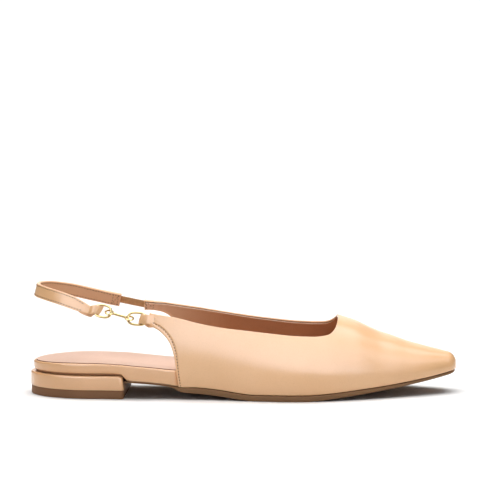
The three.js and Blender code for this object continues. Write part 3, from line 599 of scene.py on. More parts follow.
upper = {
    "inset": 0.6,
    "wall": 1.6,
    "lining": 0.5,
    "liningGap": 0.05,
    "linedBelow": 1.15,           # the folded edge shows above the lining by this much
    "endWall": {"outer": 2.2, "inner": 2.9},
    "pocketRamp": 7.0,
    "rows": 52,
    "columns": {"wing": 60, "waist": 44, "throat": 36, "vamp": 60},
    "edgeSteps": (0.0, 0.85, 1.15, 1.45, 1.8, 2.2, 2.7, 3.3),   # rows beside the open edges, mm from them
    "liningSteps": (0.0, 0.6, 0.95, 1.4, 2.0, 2.8),
    "rimBulge": 0.4,
    "wingTop": 0.47,
    "throatFoot": 0.685,
    "vampFoot": 0.765,
    "stitchInset": (2.5, 1.3),   # from the wing's edge, at the tab and at the sole
    "grooveDepth": 0.3,
    "grooveWidth": 0.5,
    "rimSteps": 6,
    "liningRimSteps": 4,
    "middleY": 3.0,              # between the wings, to tell the outside from the inside
}
tipX = shoe["length"] - upper["inset"]
upperEdges = movedEdges(upper["inset"])
turnLength = 40.0                # millimetres that a radian counts for when an edge is smoothed
sides = ("outer", "inner")


def lastSection(x):
    x = np.asarray(x, float)
    base = soleTop(x) + shoe["fitGap"]
    tip = np.clip(1 - (tipX - x) / shoe["tipRound"], 0, 1)
    ridge = lastForm["height"](shareOf(x)) * shoe["throatHeight"]
    ridge = ridge - shoe["tipDrop"] * (1 - np.sqrt(1 - tip ** 2))
    rise = (ridge - base) / (1 + math.sin(shoe["tuck"]))
    return base + rise * math.sin(shoe["tuck"]), rise, lastForm["shift"](shareOf(x)) * shoe["ballWidth"]


def upperPoint(side, x, angle):
    x = np.asarray(x, float)
    widest, rise, shift = lastSection(x)
    edge = upperEdges(x)[sides.index(side)]
    reach = np.where(x >= tipX - 1e-6, 0.0, (edge - shift) / math.cos(shoe["tuck"]))
    return np.stack([x, shift + reach * np.cos(angle), widest + rise * np.sin(angle)], -1)


def angleAtHeight(x, height):
    widest, rise, _ = lastSection(x)
    return np.arcsin(np.clip((height - widest) / rise, -math.sin(shoe["tuck"]), 1))


def toplineSpots(side, x):
    return np.stack([x, angleAtHeight(x, topline[side](shareOf(x)) * shoe["throatHeight"])], -1)


def footSpots(x):
    return np.stack([x, np.full_like(x, -shoe["tuck"])], -1)


def edgePath(spots):             # smooth edge through spots of x and angle
    path = pathThrough(np.array(spots) * (1, turnLength))
    return lambda share: path(share) / (1, turnLength)


def wingEdge(side):
    spots = [(along * shoe["length"], angleAtHeight(along * shoe["length"], height * shoe["throatHeight"]))
             for along, height in wingEdgeForm[side]]
    return edgePath(spots + [(wingCorner[side] * shoe["length"], -shoe["tuck"])])


def wingEndX(side):
    return wingEdgeForm[side][0][0] * shoe["length"]


def wallAt(side, x):             # the wing ends are thicker, for the folded tab and the elastic's pocket
    start = wingEndX(side) + upper["pocketRamp"]
    thin = smoothStep(x, start - 1, start + upper["pocketRamp"])
    return upper["endWall"][side] + (upper["wall"] - upper["endWall"][side]) * thin


def upperColumns(side):          # lower and upper end of each column, as x and angle
    quarter = math.pi / 2
    length = shoe["length"]
    cornerX = shoe["throatFront"] - shoe["throatDepth"]
    spots = [(shoe["throatFront"] - setback * shoe["throatDepth"], turn * quarter)
             for setback, turn in throatCorner[side]]
    throat = edgePath([tuple(toplineSpots(side, np.array(cornerX)))] + spots)
    mix = lambda a, b, t: a + (b - a) * t
    parts = []
    t = np.linspace(0, 1, upper["columns"]["wing"], endpoint=False)
    wingTopX = upper["wingTop"] * length
    parts.append((wingEdge(side)(t), toplineSpots(side, mix(wingEndX(side), wingTopX, t))))
    t = np.linspace(0, 1, upper["columns"]["waist"], endpoint=False)
    parts.append((footSpots(mix(wingCorner[side] * length, upper["throatFoot"] * length, t)),
                  toplineSpots(side, mix(wingTopX, cornerX, t))))
    t = np.linspace(0, 1, upper["columns"]["throat"], endpoint=False)
    parts.append((footSpots(mix(upper["throatFoot"] * length, upper["vampFoot"] * length, t)), throat(t)))
    t = np.sin(quarter * np.linspace(0, 1, upper["columns"]["vamp"] + 1))
    ridge = mix(shoe["throatFront"], tipX, t)
    parts.append((footSpots(mix(upper["vampFoot"] * length, tipX, t)),
                  np.stack([ridge, np.full_like(ridge, quarter)], -1)))
    return np.vstack([p[0] for p in parts]), np.vstack([p[1] for p in parts])


def rowShares(span, steps, rows):    # finer rows at both ends of a column
    fine = np.minimum(np.array(steps) / span, 0.42 * np.array(steps) / steps[-1])
    between = np.linspace(fine[-1], 1 - fine[-1], rows - 2 * len(fine) + 3)[1:-1]
    return np.concatenate([fine, between, 1 - fine[::-1]])


def upperSheet(steps, margin=0.0):
    # points, quads, wall and free edge of the upper's outer face, its open edges drawn in by the margin
    vampFrom = sum(upper["columns"][part] for part in ("wing", "waist", "throat"))
    wingCount = upper["columns"]["wing"]
    rows = upper["rows"]
    points, walls, quads, known, atEdge = [], [], [], {}, []
    for side in sides:
        lower, high = upperColumns(side)
        last = len(lower) - 1
        for c in range(last + 1):
            start, end = lower[c].copy(), high[c].copy()
            if margin:
                span = np.linalg.norm(upperPoint(side, *start) - upperPoint(side, *end))
                share = min(margin / span, 0.3)
                if c < vampFrom:
                    end = end + (start - end) * share
                forward = smoothStep(c, 0.3 * wingCount, 0.9 * wingCount)
                start = start + (end - start) * share * (1 - forward)
                ends = np.array([wingEndX(side) + margin, 0])
                start[0], end[0] = max(start[0], ends[0]), max(end[0], ends[0])
                start[0] += margin * forward * (1 - smoothStep(c, wingCount, wingCount + 6))
            span = np.linalg.norm(upperPoint(side, *start) - upperPoint(side, *end))
            shares = rowShares(span, steps, rows)
            xs = start[0] + (end[0] - start[0]) * shares
            angles = start[1] + (end[1] - start[1]) * shares
            column = upperPoint(side, xs, angles)
            for r in range(rows + 1):
                shared = c == last or (r == rows and c >= vampFrom)
                key = (c, r) if shared else (side, c, r)
                if key not in known:
                    known[key] = len(points)
                    points.append(column[r])
                    walls.append(float(wallAt(side, xs[r])))
        for c in range(last):
            for r in range(rows):
                corners = [(c, r), (c + 1, r), (c + 1, r + 1), (c, r + 1)]
                quad = [known.get(k, known.get((side, *k))) for k in corners]
                quads.append(quad if side == "outer" else quad[::-1])
                atEdge.append((r == rows - 1 and c < vampFrom) or (r == 0 and c < wingCount) or c == 0)
    return np.array(points), quads, np.array(walls), atEdge


def sheetNormals(points, quads):
    normals = np.zeros_like(points)
    for quad in quads:
        a, b, c, d = points[quad]
        normal = np.cross(c - a, d - b)
        normals[quad] += normal
    normals /= np.maximum(np.linalg.norm(normals, axis=1), 1e-9)[:, None]
    outwards = (normals[:, 1] * (points[:, 1] - upper["middleY"])).sum() >= 0
    return normals if outwards else -normals


def closedShell(points, quads, normals, near, far, rimSteps):
    # both faces of a sheet between two depths under its outer face, joined by a rounded rim
    edges = {}
    for quad in quads:
        for a, b in zip(quad, quad[1:] + quad[:1]):
            edges[(a, b)] = edges.get((a, b), 0) + 1
    border = [(a, b) for a, b in edges if (b, a) not in edges]
    onBorder = {i for edge in border for i in edge}
    away = np.zeros_like(points)
    for quad in quads:
        middle = points[quad].mean(0)
        for i in quad:
            if i in onBorder:
                away[i] += points[i] - middle
    chosen = sorted(onBorder)
    out = away[chosen] - normals[chosen] * (away[chosen] * normals[chosen]).sum(1)[:, None]
    out /= np.maximum(np.linalg.norm(out, axis=1), 1e-9)[:, None]
    half = 0.5 * (far - near)
    bulge = np.minimum(half, upper["rimBulge"])
    faceOut = points - normals * near[:, None]
    faceIn = points - normals * far[:, None]
    faceOut[chosen] -= out * bulge[chosen][:, None]
    faceIn[chosen] -= out * bulge[chosen][:, None]
    count = len(points)
    made = [faceOut, faceIn]
    rank = {i: k for k, i in enumerate(chosen)}
    middle = 0.5 * (faceOut[chosen] + faceIn[chosen])
    for step in range(1, rimSteps):
        turn = math.pi * step / rimSteps
        made.append(middle + normals[chosen] * (half[chosen] * math.cos(turn))[:, None]
                    + out * (bulge[chosen] * math.sin(turn))[:, None])

    def rim(i, step):
        if step == 0:
            return i
        if step == rimSteps:
            return count + i
        return 2 * count + (step - 1) * len(chosen) + rank[i]

    faces = list(map(tuple, quads)) + [tuple(count + i for i in quad[::-1]) for quad in quads]
    for a, b in border:
        for step in range(rimSteps):
            faces.append((rim(b, step), rim(a, step), rim(a, step + 1), rim(b, step + 1)))
    return np.vstack(made), faces


def nearestDistance(points, line):
    tree = KDTree(len(line))
    for i, p in enumerate(line):
        tree.insert(Vector(p), i)
    tree.balance()
    return np.array([tree.find(Vector(p))[2] for p in points])


def wingStitchLine(side):        # on the outer face, inside the wing's rear edge
    shares = np.linspace(0.05, 0.985, 220)
    spots = wingEdge(side)(shares)
    step = 0.02
    scale = []                   # millimetres to a step along x and to a step of the angle
    for move in ((step, 0), (0, step)):
        across = upperPoint(side, *(spots + move).T) - upperPoint(side, *(spots - move).T)
        scale.append(np.linalg.norm(across, axis=1))
    scale = np.stack(scale, 1) / (2 * step)
    along = np.gradient(spots, axis=0) * scale
    along /= np.linalg.norm(along, axis=1)[:, None]
    inward = np.stack([-along[:, 1], along[:, 0]], 1)
    inward *= np.where(inward @ (1.0, 0.3) < 0, -1, 1)[:, None]
    near, low = upper["stitchInset"]
    inset = near + (low - near) * smoothStep(shares, 0.1, 0.9)
    moved = spots + inward * inset[:, None] / scale
    moved[:, 1] = np.maximum(moved[:, 1], -shoe["tuck"])
    return upperPoint(side, *moved.T)


def shellPiece(name, sheet, shape, normals, depths, rimSteps, finishes, kinds, replaced=()):
    # kinds are the finishes of the inner face, of its edge rows and of the rim
    _, quads, _, atEdge = sheet
    points, faces = closedShell(shape, quads, normals, *depths, rimSteps)
    inner, edge, rim = kinds
    chosen = [0] * len(quads) + [edge if near else inner for near in atEdge]
    chosen += [rim] * (len(faces) - 2 * len(quads))
    return addPiece(name, points, faces, finishes, replaced, chosen)


wingLines = {side: wingStitchLine(side) for side in sides}
skinSheet = upperSheet(upper["edgeSteps"])
skin, skinQuads, skinWall, _ = skinSheet
skinNormals = sheetNormals(skin, skinQuads)
fromStitches = np.minimum(*[nearestDistance(skin, wingLines[side]) for side in sides])
groove = -upper["grooveDepth"] * np.exp(-(fromStitches / upper["grooveWidth"]) ** 2)
leatherDepth = skinWall - upper["lining"] - upper["liningGap"]
# the inner face takes the flesh side's painted shade, seen as a dark line above the lining
shellPiece("upperLeather", skinSheet, skin + skinNormals * groove[:, None], skinNormals,
           (np.zeros(len(skin)), leatherDepth), upper["rimSteps"], [calfLeather, fleshSideShade], (1, 0, 0),
           ["upper"])

liningSheet = upperSheet(upper["liningSteps"], upper["linedBelow"])
liningSkin, liningQuads, liningWall, _ = liningSheet
# the lining's edge rows and rim take the binding's painted highlight
shellPiece("upperLining", liningSheet, liningSkin, sheetNormals(liningSkin, liningQuads),
           (liningWall - upper["lining"], liningWall), upper["liningRimSteps"],
           [liningLeather, bindingWithHighlight], (0, 1, 1))
print("upper made")

# Footbed wrapped in leather, with a low rim round the sock

footbedLook = {
    "rimHeight": 0.55,
    "topRound": 1.1,
    "lowTuck": (2.6, 1.1),       # over the heel and at the waist
    "lowRise": (3.6, 1.6),
    "stations": 220,
    "across": 24,
    "breastBlend": 8.0,
    "slope": (57.2, 60.9),
    "tuckShadeFacing": -0.45,         # faces turned down by more than this take the tuck's painted shade
}
innerInset = upper["inset"] + upper["wall"] / math.cos(shoe["tuck"]) + shoe["fitGap"]


def wingRoot(side):              # where a wing's edge first passes beside the footbed
    spots = wingEdge(side)(np.linspace(0, 1, 200))
    heights = upperPoint(side, *spots.T)[:, 2]
    beside = spots[heights < footbedTop(spots[:, 0]) + 2 * shoe["fitGap"] + 0.8]
    return beside[:, 0].min() - shoe["fitGap"]


wingRoots = [wingRoot(side) for side in sides]


def footbedEdges(extra):
    atHeel = movedEdges(sole["footbedHeelInset"] + extra)
    atWaist = movedEdges(upper["inset"] + extra)
    inUpper = movedEdges(innerInset + extra)

    def read(x):
        onset = smoothStep(x, sole["heelBreast"] - footbedLook["breastBlend"],
                           sole["heelBreast"] + footbedLook["breastBlend"])
        edges = []
        for a, b, c, root in zip(atHeel(x), atWaist(x), inUpper(x), wingRoots):
            bare = a + (b - a) * onset
            edges.append(bare + (c - bare) * smoothStep(x, root - 0.4, root + 1.6))
        return tuple(edges)

    return read


def footbedUnder(x):             # flat over the heel, then sloping down to the waist
    start, end = footbedLook["slope"]
    slope = np.clip((x - start) / (end - start), 0, 1)
    return sole["heelHeight"] + (soleTop(x) - sole["heelHeight"]) * slope + 0.1


def rimTop(x):
    return footbedTop(x) + footbedLook["rimHeight"]


def overHeel(name):              # its leather turns in further over the heel than at the waist
    near, far = footbedLook[name]
    return lambda x: near + (far - near) * smoothStep(x, sole["heelBreast"] - 6, sole["heelBreast"] + 8)


footbedLayers = roundedLayers(footbedUnder, rimTop, 0.0, footbedLook["topRound"], 8,
                              overHeel("lowTuck"), overHeel("lowRise"))
footbedLayers.append((footbedLook["topRound"] + 0.15, lambda x: rimTop(x) - 0.1))
footbedLayers.append((footbedLook["topRound"] + 0.25, lambda x: footbedTop(x) - 0.1))
footbedCover = layeredPiece(
    "footbedCover", spreadStations(sole["footbedHeelInset"] + 0.05, shoe["length"] - innerInset - 0.05,
                                   footbedLook["stations"]),
    footbedEdges(0.0), footbedLayers, footbedLook["across"], [heelCalf, breastAndTuckShade],
    ["footbed"])
for face in footbedCover.data.polygons:
    if face.normal.z < footbedLook["tuckShadeFacing"]:     # the tuck above the heel is painted dark as shade
        face.material_index = 1

sock = {"inset": 1.65, "thickness": 0.95, "lowRound": 0.1, "round": 0.12, "cushion": 0.5,
        "stations": 220, "across": 26}


def sockCrown(x, y, share):      # a thin foam layer lifts the middle of the sock
    rounded = math.sin(math.pi * min(max(share, 0.0), 1.0)) ** 0.6
    ends = float(smoothStep(x, 3.0, 22.0))
    return sock["cushion"] * rounded * ends


# the sock's lowest side layers take the edge's painted shade
layeredPiece(
    "sockLining", spreadStations(sole["footbedHeelInset"] + sock["inset"] + 0.05,
                                 shoe["length"] - innerInset - sock["inset"] - 0.3, sock["stations"]),
    footbedEdges(sock["inset"]),
    roundedLayers(lambda x: footbedTop(x) - 0.05, lambda x: footbedTop(x) + sock["thickness"],
                  sock["lowRound"], sock["round"], 4),
    sock["across"], [sockLeather, stainedEdgeAndShade], ["insole_sock"], sockCrown, sideLayers=6)
print("footbed and sock made")

# Strap, tabs, elastic and link

strap = {
    "width": 8.0,
    "endWidth": 4.8,             # neck behind the folded end
    "taper": 14.0,
    "taperDrop": 0.3,            # share of the narrowing that comes off the top edge alone
    "layer": 1.1,
    "span": 50.0,
    "height": 64.0,
    "lean": math.radians(13),
    "edgeRound": 0.5,
    "seamDepth": 0.14,
    "stitchInset": 1.1,
    "grooveDepth": 0.1,
    "stations": 170,
    "pocket": 2.9,
    "pocketRamp": 7.0,
}
link = {
    "wire": 0.75, "length": 8.4, "height": 7.3, "roundness": 2.7, "wireBend": 1.0,
    "bar": 0.85, "eyeWire": 0.58, "eyeHole": 1.8, "eyeTurn": math.radians(35), "tail": 5.5, "tabReach": 3.4,
    "tabRise": 0.07, "rearRise": 0.1, "eyeInside": 0.9,
    "ringBack": 1.5,             # the rings lie this much further back in their folds
    "ringOn": {"rear_ring": 0.0, "front_ring": 1.3},
}
strapPath = pathThrough([
    (along * shoe["length"], across * 0.5 * strap["span"], height * strap["height"])
    for along, across, height in [
        (0.145, -0.976, 0.862), (0.120, -0.936, 0.892), (0.097, -0.880, 0.925), (0.074, -0.792, 0.953),
        (0.049, -0.648, 0.978), (0.030, -0.460, 0.994), (0.019, -0.240, 1.000), (0.016, 0.000, 1.001),
        (0.019, 0.240, 1.001), (0.030, 0.460, 0.997), (0.049, 0.648, 0.986), (0.074, 0.792, 0.967),
        (0.097, 0.880, 0.947), (0.133, 0.960, 0.909), (0.170, 1.000, 0.873), (0.206, 1.008, 0.842),
    ]
])


def unit(v):
    return np.asarray(v, float) / np.linalg.norm(v)


def strapFrame(share):           # origin, along, outward and up the strap's width
    origin = strapPath(share)
    u = unit(strapPath(min(share + 0.002, 1)) - strapPath(max(share - 0.002, 0)))
    outward = unit((u[1], -u[0], 0))
    if outward @ (origin - (shoe["originX"], 0, strap["height"])) < 0:
        outward = -outward
    up = np.array((0, 0, math.cos(strap["lean"]))) - outward * math.sin(strap["lean"])
    w = unit(up - u * (up @ u))
    v = np.cross(w, u)
    return origin, u, v if v @ outward > 0 else -v, w


def bandProfile(halfThick, halfWide, stitched=True):   # section of a two layer band, with sewn grooves
    r = min(strap["edgeRound"], halfThick * 0.6)
    face = []
    for q in np.linspace(-halfWide + r, halfWide - r, 25):
        toRow = abs(abs(q) - (halfWide - strap["stitchInset"]))
        dip = strap["grooveDepth"] * math.exp(-(toRow / 0.4) ** 2) if stitched else 0.0
        face.append((halfThick - dip, q))
    corner = [(halfThick - r + r * math.cos(a), halfWide - r + r * math.sin(a))
              for a in np.linspace(0.25, 0.5 * math.pi, 4)]
    seam = (0.0, halfWide - strap["seamDepth"])
    half = face + corner + [seam] + [(-p, q) for p, q in corner[::-1]]
    backFace = [(-p, q) for p, q in face[::-1]]
    low = [(-p, -q) for p, q in corner] + [(0.0, -seam[1])] + [(p, -q) for p, q in corner[::-1]]
    return half + backFace + low


def sweptBand(frames, profiles):
    size = len(profiles[0])
    points = []
    for (origin, _, v, w), profile in zip(frames, profiles):
        points.extend(origin + v * p + w * q for p, q in profile)
    faces = quadsBetween(len(frames), size)
    for base, step in ((0, 1), ((len(frames) - 1) * size, -1)):
        middle = len(points)
        points.append(np.mean(points[base:base + size], axis=0))
        for j in range(size):
            n = (j + 1) % size
            faces.append((middle, base + n, base + j) if step > 0 else (middle, base + j, base + n))
    return points, faces


strapShares = np.linspace(0, 1, strap["stations"])
strapFrames = [strapFrame(s) for s in strapShares]
strapProfiles, strapDrops = [], []
for s in strapShares:
    passed = s * strapPath.length
    left = strapPath.length - passed
    wide = strap["endWidth"] + (strap["width"] - strap["endWidth"]) * math.sin(
        0.5 * math.pi * min(passed / strap["taper"], 1.0))
    drop = strap["taperDrop"] * (strap["width"] - wide)
    strapDrops.append(drop)
    thick = strap["pocket"] + (2 * strap["layer"] - strap["pocket"]) * smoothStep(
        left, strap["pocketRamp"], 2 * strap["pocketRamp"])
    strapProfiles.append([(p, q - drop) for p, q in bandProfile(0.5 * thick, 0.5 * wide)])
strapPoints, strapFaces = sweptBand(strapFrames, strapProfiles)
around = len(strapProfiles[0])
liningSide = range(30, 62)       # the faces of the section that lie on the foot's side
# the foot's side of the strap takes the lining's pinker colour and painted shade
strapFinish = [int(i % around in liningSide and i < len(strapFaces) - 2 * around)
               for i in range(len(strapFaces))]
addPiece("strapLeather", strapPoints, strapFaces, [calfLeather, strapLiningAndShade],
         ["sling_strap"], strapFinish)


def bandFrame(origin, direction, inward):   # u to the loop's tip, v through the leather, w up its width
    u = unit(direction)
    up = np.array((0, inward * math.sin(strap["lean"]), math.cos(strap["lean"])))
    w = unit(up - u * (up @ u))
    return origin, u, np.cross(w, u), w


def wingMiddle(side, x, height):
    angle = angleAtHeight(x, height)
    point = upperPoint(side, x, angle)
    along = upperPoint(side, x + 0.01, angle) - upperPoint(side, x - 0.01, angle)
    up = upperPoint(side, x, angle + 0.01) - upperPoint(side, x, angle - 0.01)
    normal = unit(np.cross(along, up))
    if normal[1] * (-1 if side == "outer" else 1) < 0:
        normal = -normal
    return point - normal * 0.5 * wallAt(side, x)


def wingEndHeight(side):
    low = wingEdgeForm[side][0][1]
    high = topline[side](shareOf(wingEndX(side)))
    return 0.5 * (low + high) * shoe["throatHeight"]


rearDirection = unit(strapPath(0.0) - strapPath(0.004)) + (0, 0, link["rearRise"])
rearFrame = bandFrame(strapPath(0.0) + unit(rearDirection) * 0.8 * link["tail"], rearDirection, 1)
tabX = wingEndX("outer") - link["tabReach"]
tabWire = wingMiddle("outer", tabX, wingEndHeight("outer"))
tabRoot = wingMiddle("outer", tabX + link["tail"], wingEndHeight("outer") - link["tabRise"] * link["tail"])
frontFrame = bandFrame(tabWire, tabWire - tabRoot, 1)


tabLook = {
    "rear": {"outerRun": 5.4, "innerRun": 13.0, "tip": 5.7, "root": 4.8, "rootDrop": 0.96, "innerWidth": 6.2,
             "innerDrop": 2.2, "shear": 0.34},
    "front": {"outerRun": 6.4, "innerRun": 12.0, "tip": 5.8, "root": 6.6, "rootDrop": 0.3, "innerWidth": 6.2,
              "innerDrop": 2.0, "shear": -0.22},
    "edgeRound": 0.35,
    "plump": 0.25,
    "shadedRun": 1.2,            # painted shade of the flesh side runs this far back inside the fold
}


def foldedTab(name, tabFrame, look):
    # a strip that lies on the outer face, turns round the ring's wire and runs back on the inner face
    origin, u, v, w = tabFrame
    if v[1] > 0:                 # v points to the outer side of the foot
        v = -v
    layer = strap["layer"]
    radius = link["wire"] + shoe["fitGap"] + 0.5 * layer
    path = []
    for along in np.linspace(-look["outerRun"], 0.0, 14)[:-1]:
        settle = smoothStep(-along, 1.8, look["outerRun"])
        path.append((along, radius + (0.5 * layer - 0.1 - radius) * settle, 0))
    for turn in np.linspace(0.5 * math.pi, -0.5 * math.pi, 17):
        path.append((link["wireBend"] * 0.5 + radius * math.cos(turn), radius * math.sin(turn), 0))
    for along in np.linspace(0.0, -look["innerRun"], 20)[1:]:
        settle = smoothStep(-along, 1.8, link["tail"] + 1.5)
        path.append((along, -radius + (radius - 0.5 * layer) * settle, 1))
    points, faces = [], []
    for i, (along, through, inner) in enumerate(path):
        before, after = path[max(i - 1, 0)], path[min(i + 1, len(path) - 1)]
        tangent = unit((after[0] - before[0], after[1] - before[1]))
        normal = np.array((-tangent[1], tangent[0]))
        back = max(-along, 0.0)
        if inner:
            half = 0.5 * (look["tip"] + (look["innerWidth"] - look["tip"]) * smoothStep(back, 0.0, 5.0))
            half *= 1 - 0.3 * smoothStep(back, look["innerRun"] - 3.0, look["innerRun"])
            drop = look["innerDrop"] * smoothStep(back, 0.0, 3.5) * (1 - (back / look["innerRun"]) ** 2)
        else:
            half = 0.5 * (look["tip"] + (look["root"] - look["tip"]) * smoothStep(back, 2.5, look["outerRun"]))
            drop = look["rootDrop"] * smoothStep(back, 1.0, look["outerRun"])
        lean = look["shear"] * (1 - smoothStep(back, 0.0, 4.0))
        r = tabLook["edgeRound"]
        thick = 0.5 * layer
        for p, q in [(thick, -half + r), (thick + tabLook["plump"] * (1 - inner), 0.0), (thick, half - r),
                     (thick - 0.12, half - 0.1), (0.0, half), (0.12 - thick, half - 0.1),
                     (-thick, half - r), (-thick, 0.0), (-thick, -half + r),
                     (0.12 - thick, -half + 0.1), (0.0, -half), (thick - 0.12, -half + 0.1)]:
            flat = np.array((along + lean * q, through)) + normal * p
            points.append(origin + u * flat[0] + v * flat[1] + w * (q - drop))
    finish = []
    for i in range(len(path) - 1):
        along, _, inner = path[i]
        # the strip's face towards the wire takes painted shade up to a little past the fold, then the strap's
        # lining
        foldShadeFinish = 2 if inner and -along > tabLook["shadedRun"] else 1
        for j in range(12):
            n = (j + 1) % 12
            faces.append((i * 12 + j, i * 12 + n, (i + 1) * 12 + n, (i + 1) * 12 + j))
            finish.append(foldShadeFinish if 5 <= j <= 8 else 2 if inner else 0)
    faces.append(tuple(range(12)))
    faces.append(tuple(range((len(path) - 1) * 12, len(path) * 12)))
    piece = addPiece(name, points, faces, [calfLeather, fleshSideShade, strapLiningAndShade], (), finish + [0, 2])
    smoother = piece.modifiers.new("roundEdges", "SUBSURF")
    smoother.levels = smoother.render_levels = 2
    return bakePiece(piece)


foldedTab("rearTab", rearFrame, tabLook["rear"])
foldedTab("frontTab", frontFrame, tabLook["front"])

elastic = {"width": 4.8, "thickness": 0.9, "hold": 1.5, "ribPitch": 1.3, "ribDepth": 0.2, "raised": 0.6}
endOrigin, endU, _, endW = strapFrame(1.0)
wingEnd = wingMiddle("inner", wingEndX("inner"), wingEndHeight("inner"))
wingRootPoint = wingMiddle("inner", wingEndX("inner") + 4, wingEndHeight("inner"))
wingFrame = bandFrame(wingEnd, wingRootPoint - wingEnd, -1)
elasticPath = pathThrough([
    point + (0, 0, elastic["raised"]) for point in
    (endOrigin - endU * elastic["hold"], endOrigin, wingEnd, wingEnd + wingFrame[1] * elastic["hold"])])
elasticFrames, elasticProfiles = [], []
elasticCount = 120
for s in np.linspace(0, 1, elasticCount):
    u = unit(elasticPath(min(s + 0.01, 1)) - elasticPath(max(s - 0.01, 0)))
    w = endW * (1 - s) + wingFrame[3] * s
    w = unit(w - u * (w @ u))
    elasticFrames.append((elasticPath(s), u, np.cross(w, u), w))
    wave = 0.5 + 0.5 * math.cos(2 * math.pi * s * elasticPath.length / elastic["ribPitch"])
    half = 0.5 * elastic["thickness"] - elastic["ribDepth"] * wave
    wide = 0.5 * elastic["width"] - 0.12 * wave
    elasticProfiles.append([(half, -wide + 0.3), (half, 0), (half, wide - 0.3), (0, wide),
                            (-half, wide - 0.3), (-half, 0), (-half, -wide + 0.3), (0, -wide)])
elasticPoints, elasticFaces = sweptBand(elasticFrames, elasticProfiles)
addPiece("elasticGore", elasticPoints, elasticFaces, [webbing], ["elastic_gore"])
print("strap made")


def ringPiece(name, ringFrame, node):
    origin, u, v, w = ringFrame
    steps, around = 96, 20
    power = 2 / link["roundness"]
    rounded = lambda value: math.copysign(abs(value) ** power, value)

    start, end = -link["ringBack"], link["length"] + link["ringOn"][node]

    def centre(angle):
        return (origin + u * (start + 0.5 * (end - start) * (1 + rounded(math.cos(angle))))
                + w * 0.5 * link["height"] * rounded(math.sin(angle)))

    points = []
    for i in range(steps):
        angle = 2 * math.pi * (i + 0.5) / steps
        along = unit(centre(angle + 0.02) - centre(angle - 0.02))
        across = np.cross(along, v)
        for k in range(around):
            turn = 2 * math.pi * k / around
            points.append(centre(angle) + (across * math.cos(turn) + v * math.sin(turn)) * link["wire"])
    return addPiece(name, points, quadsBetween(steps, around, True), [gold], [node])


ringPiece("rearRing", rearFrame, "rear_ring")
ringPiece("frontRing", frontFrame, "front_ring")

# The bar is one casting: its parts are fused by a fine voxel skin, which rounds the joins
barParts = bmesh.new()
eyeRadius = link["eyeHole"] + link["eyeWire"]
barEnds = [f[0] + f[1] * (link["length"] + link["ringOn"][node] - link["eyeInside"])
           for f, node in ((rearFrame, "rear_ring"), (frontFrame, "front_ring"))]
for ringFrame, centre in zip((rearFrame, frontFrame), barEnds):
    outward = ringFrame[2] if ringFrame[2][1] < 0 else -ringFrame[2]
    normal = ringFrame[3] * math.cos(link["eyeTurn"]) + outward * math.sin(link["eyeTurn"])
    turned = Matrix(np.array([ringFrame[1], np.cross(normal, ringFrame[1]), normal]).T.tolist()).to_4x4()
    turned.translation = Vector(centre)
    major, minor = 40, 16
    grid = []
    for i in range(major):
        a = 2 * math.pi * i / major
        row = []
        for k in range(minor):
            b = 2 * math.pi * k / minor
            reach = eyeRadius + link["eyeWire"] * math.cos(b)
            row.append(barParts.verts.new(turned @ Vector((
                reach * math.cos(a), reach * math.sin(a), link["eyeWire"] * math.sin(b)))))
        grid.append(row)
    for i in range(major):
        for k in range(minor):
            barParts.faces.new((grid[i][k], grid[(i + 1) % major][k],
                                grid[(i + 1) % major][(k + 1) % minor], grid[i][(k + 1) % minor]))
direction = Vector(barEnds[1] - barEnds[0])
rodLength = direction.length - 2 * eyeRadius
rodTurn = Vector((0, 0, 1)).rotation_difference(direction).to_matrix().to_4x4()
rodTurn.translation = Vector(0.5 * (barEnds[0] + barEnds[1]))
bmesh.ops.create_cone(barParts, cap_ends=True, segments=32, radius1=link["bar"], radius2=link["bar"],
                      depth=rodLength, matrix=rodTurn)
intoFrame = Matrix.Diagonal((mm, mm, mm, 1)) @ Matrix.Translation((-shoe["originX"], 0, 0))
bmesh.ops.transform(barParts, matrix=intoFrame, verts=barParts.verts)
bmesh.ops.recalc_face_normals(barParts, faces=barParts.faces)
barMesh = bpy.data.meshes.new("bitBar")
barParts.to_mesh(barMesh)
barParts.free()
bitBar = newObject("bitBar", barMesh)
skinned = bitBar.modifiers.new("fuse", "REMESH")
skinned.mode = "VOXEL"
skinned.voxel_size = 0.1 * mm
eased = bitBar.modifiers.new("ease", "SMOOTH")
eased.factor = 0.5
eased.iterations = 4
bakePiece(bitBar)
bitBar.data.materials.append(gold)
bitBar.data.shade_smooth()
seatPiece(bitBar, ["bit_bar"])
print("link made")

# Stitches by Geometry Nodes: one rounded stitch at each step along a path

stitch = {"pitch": 1.8, "length": 1.25, "radius": 0.24, "wander": 0.1, "seed": 7}


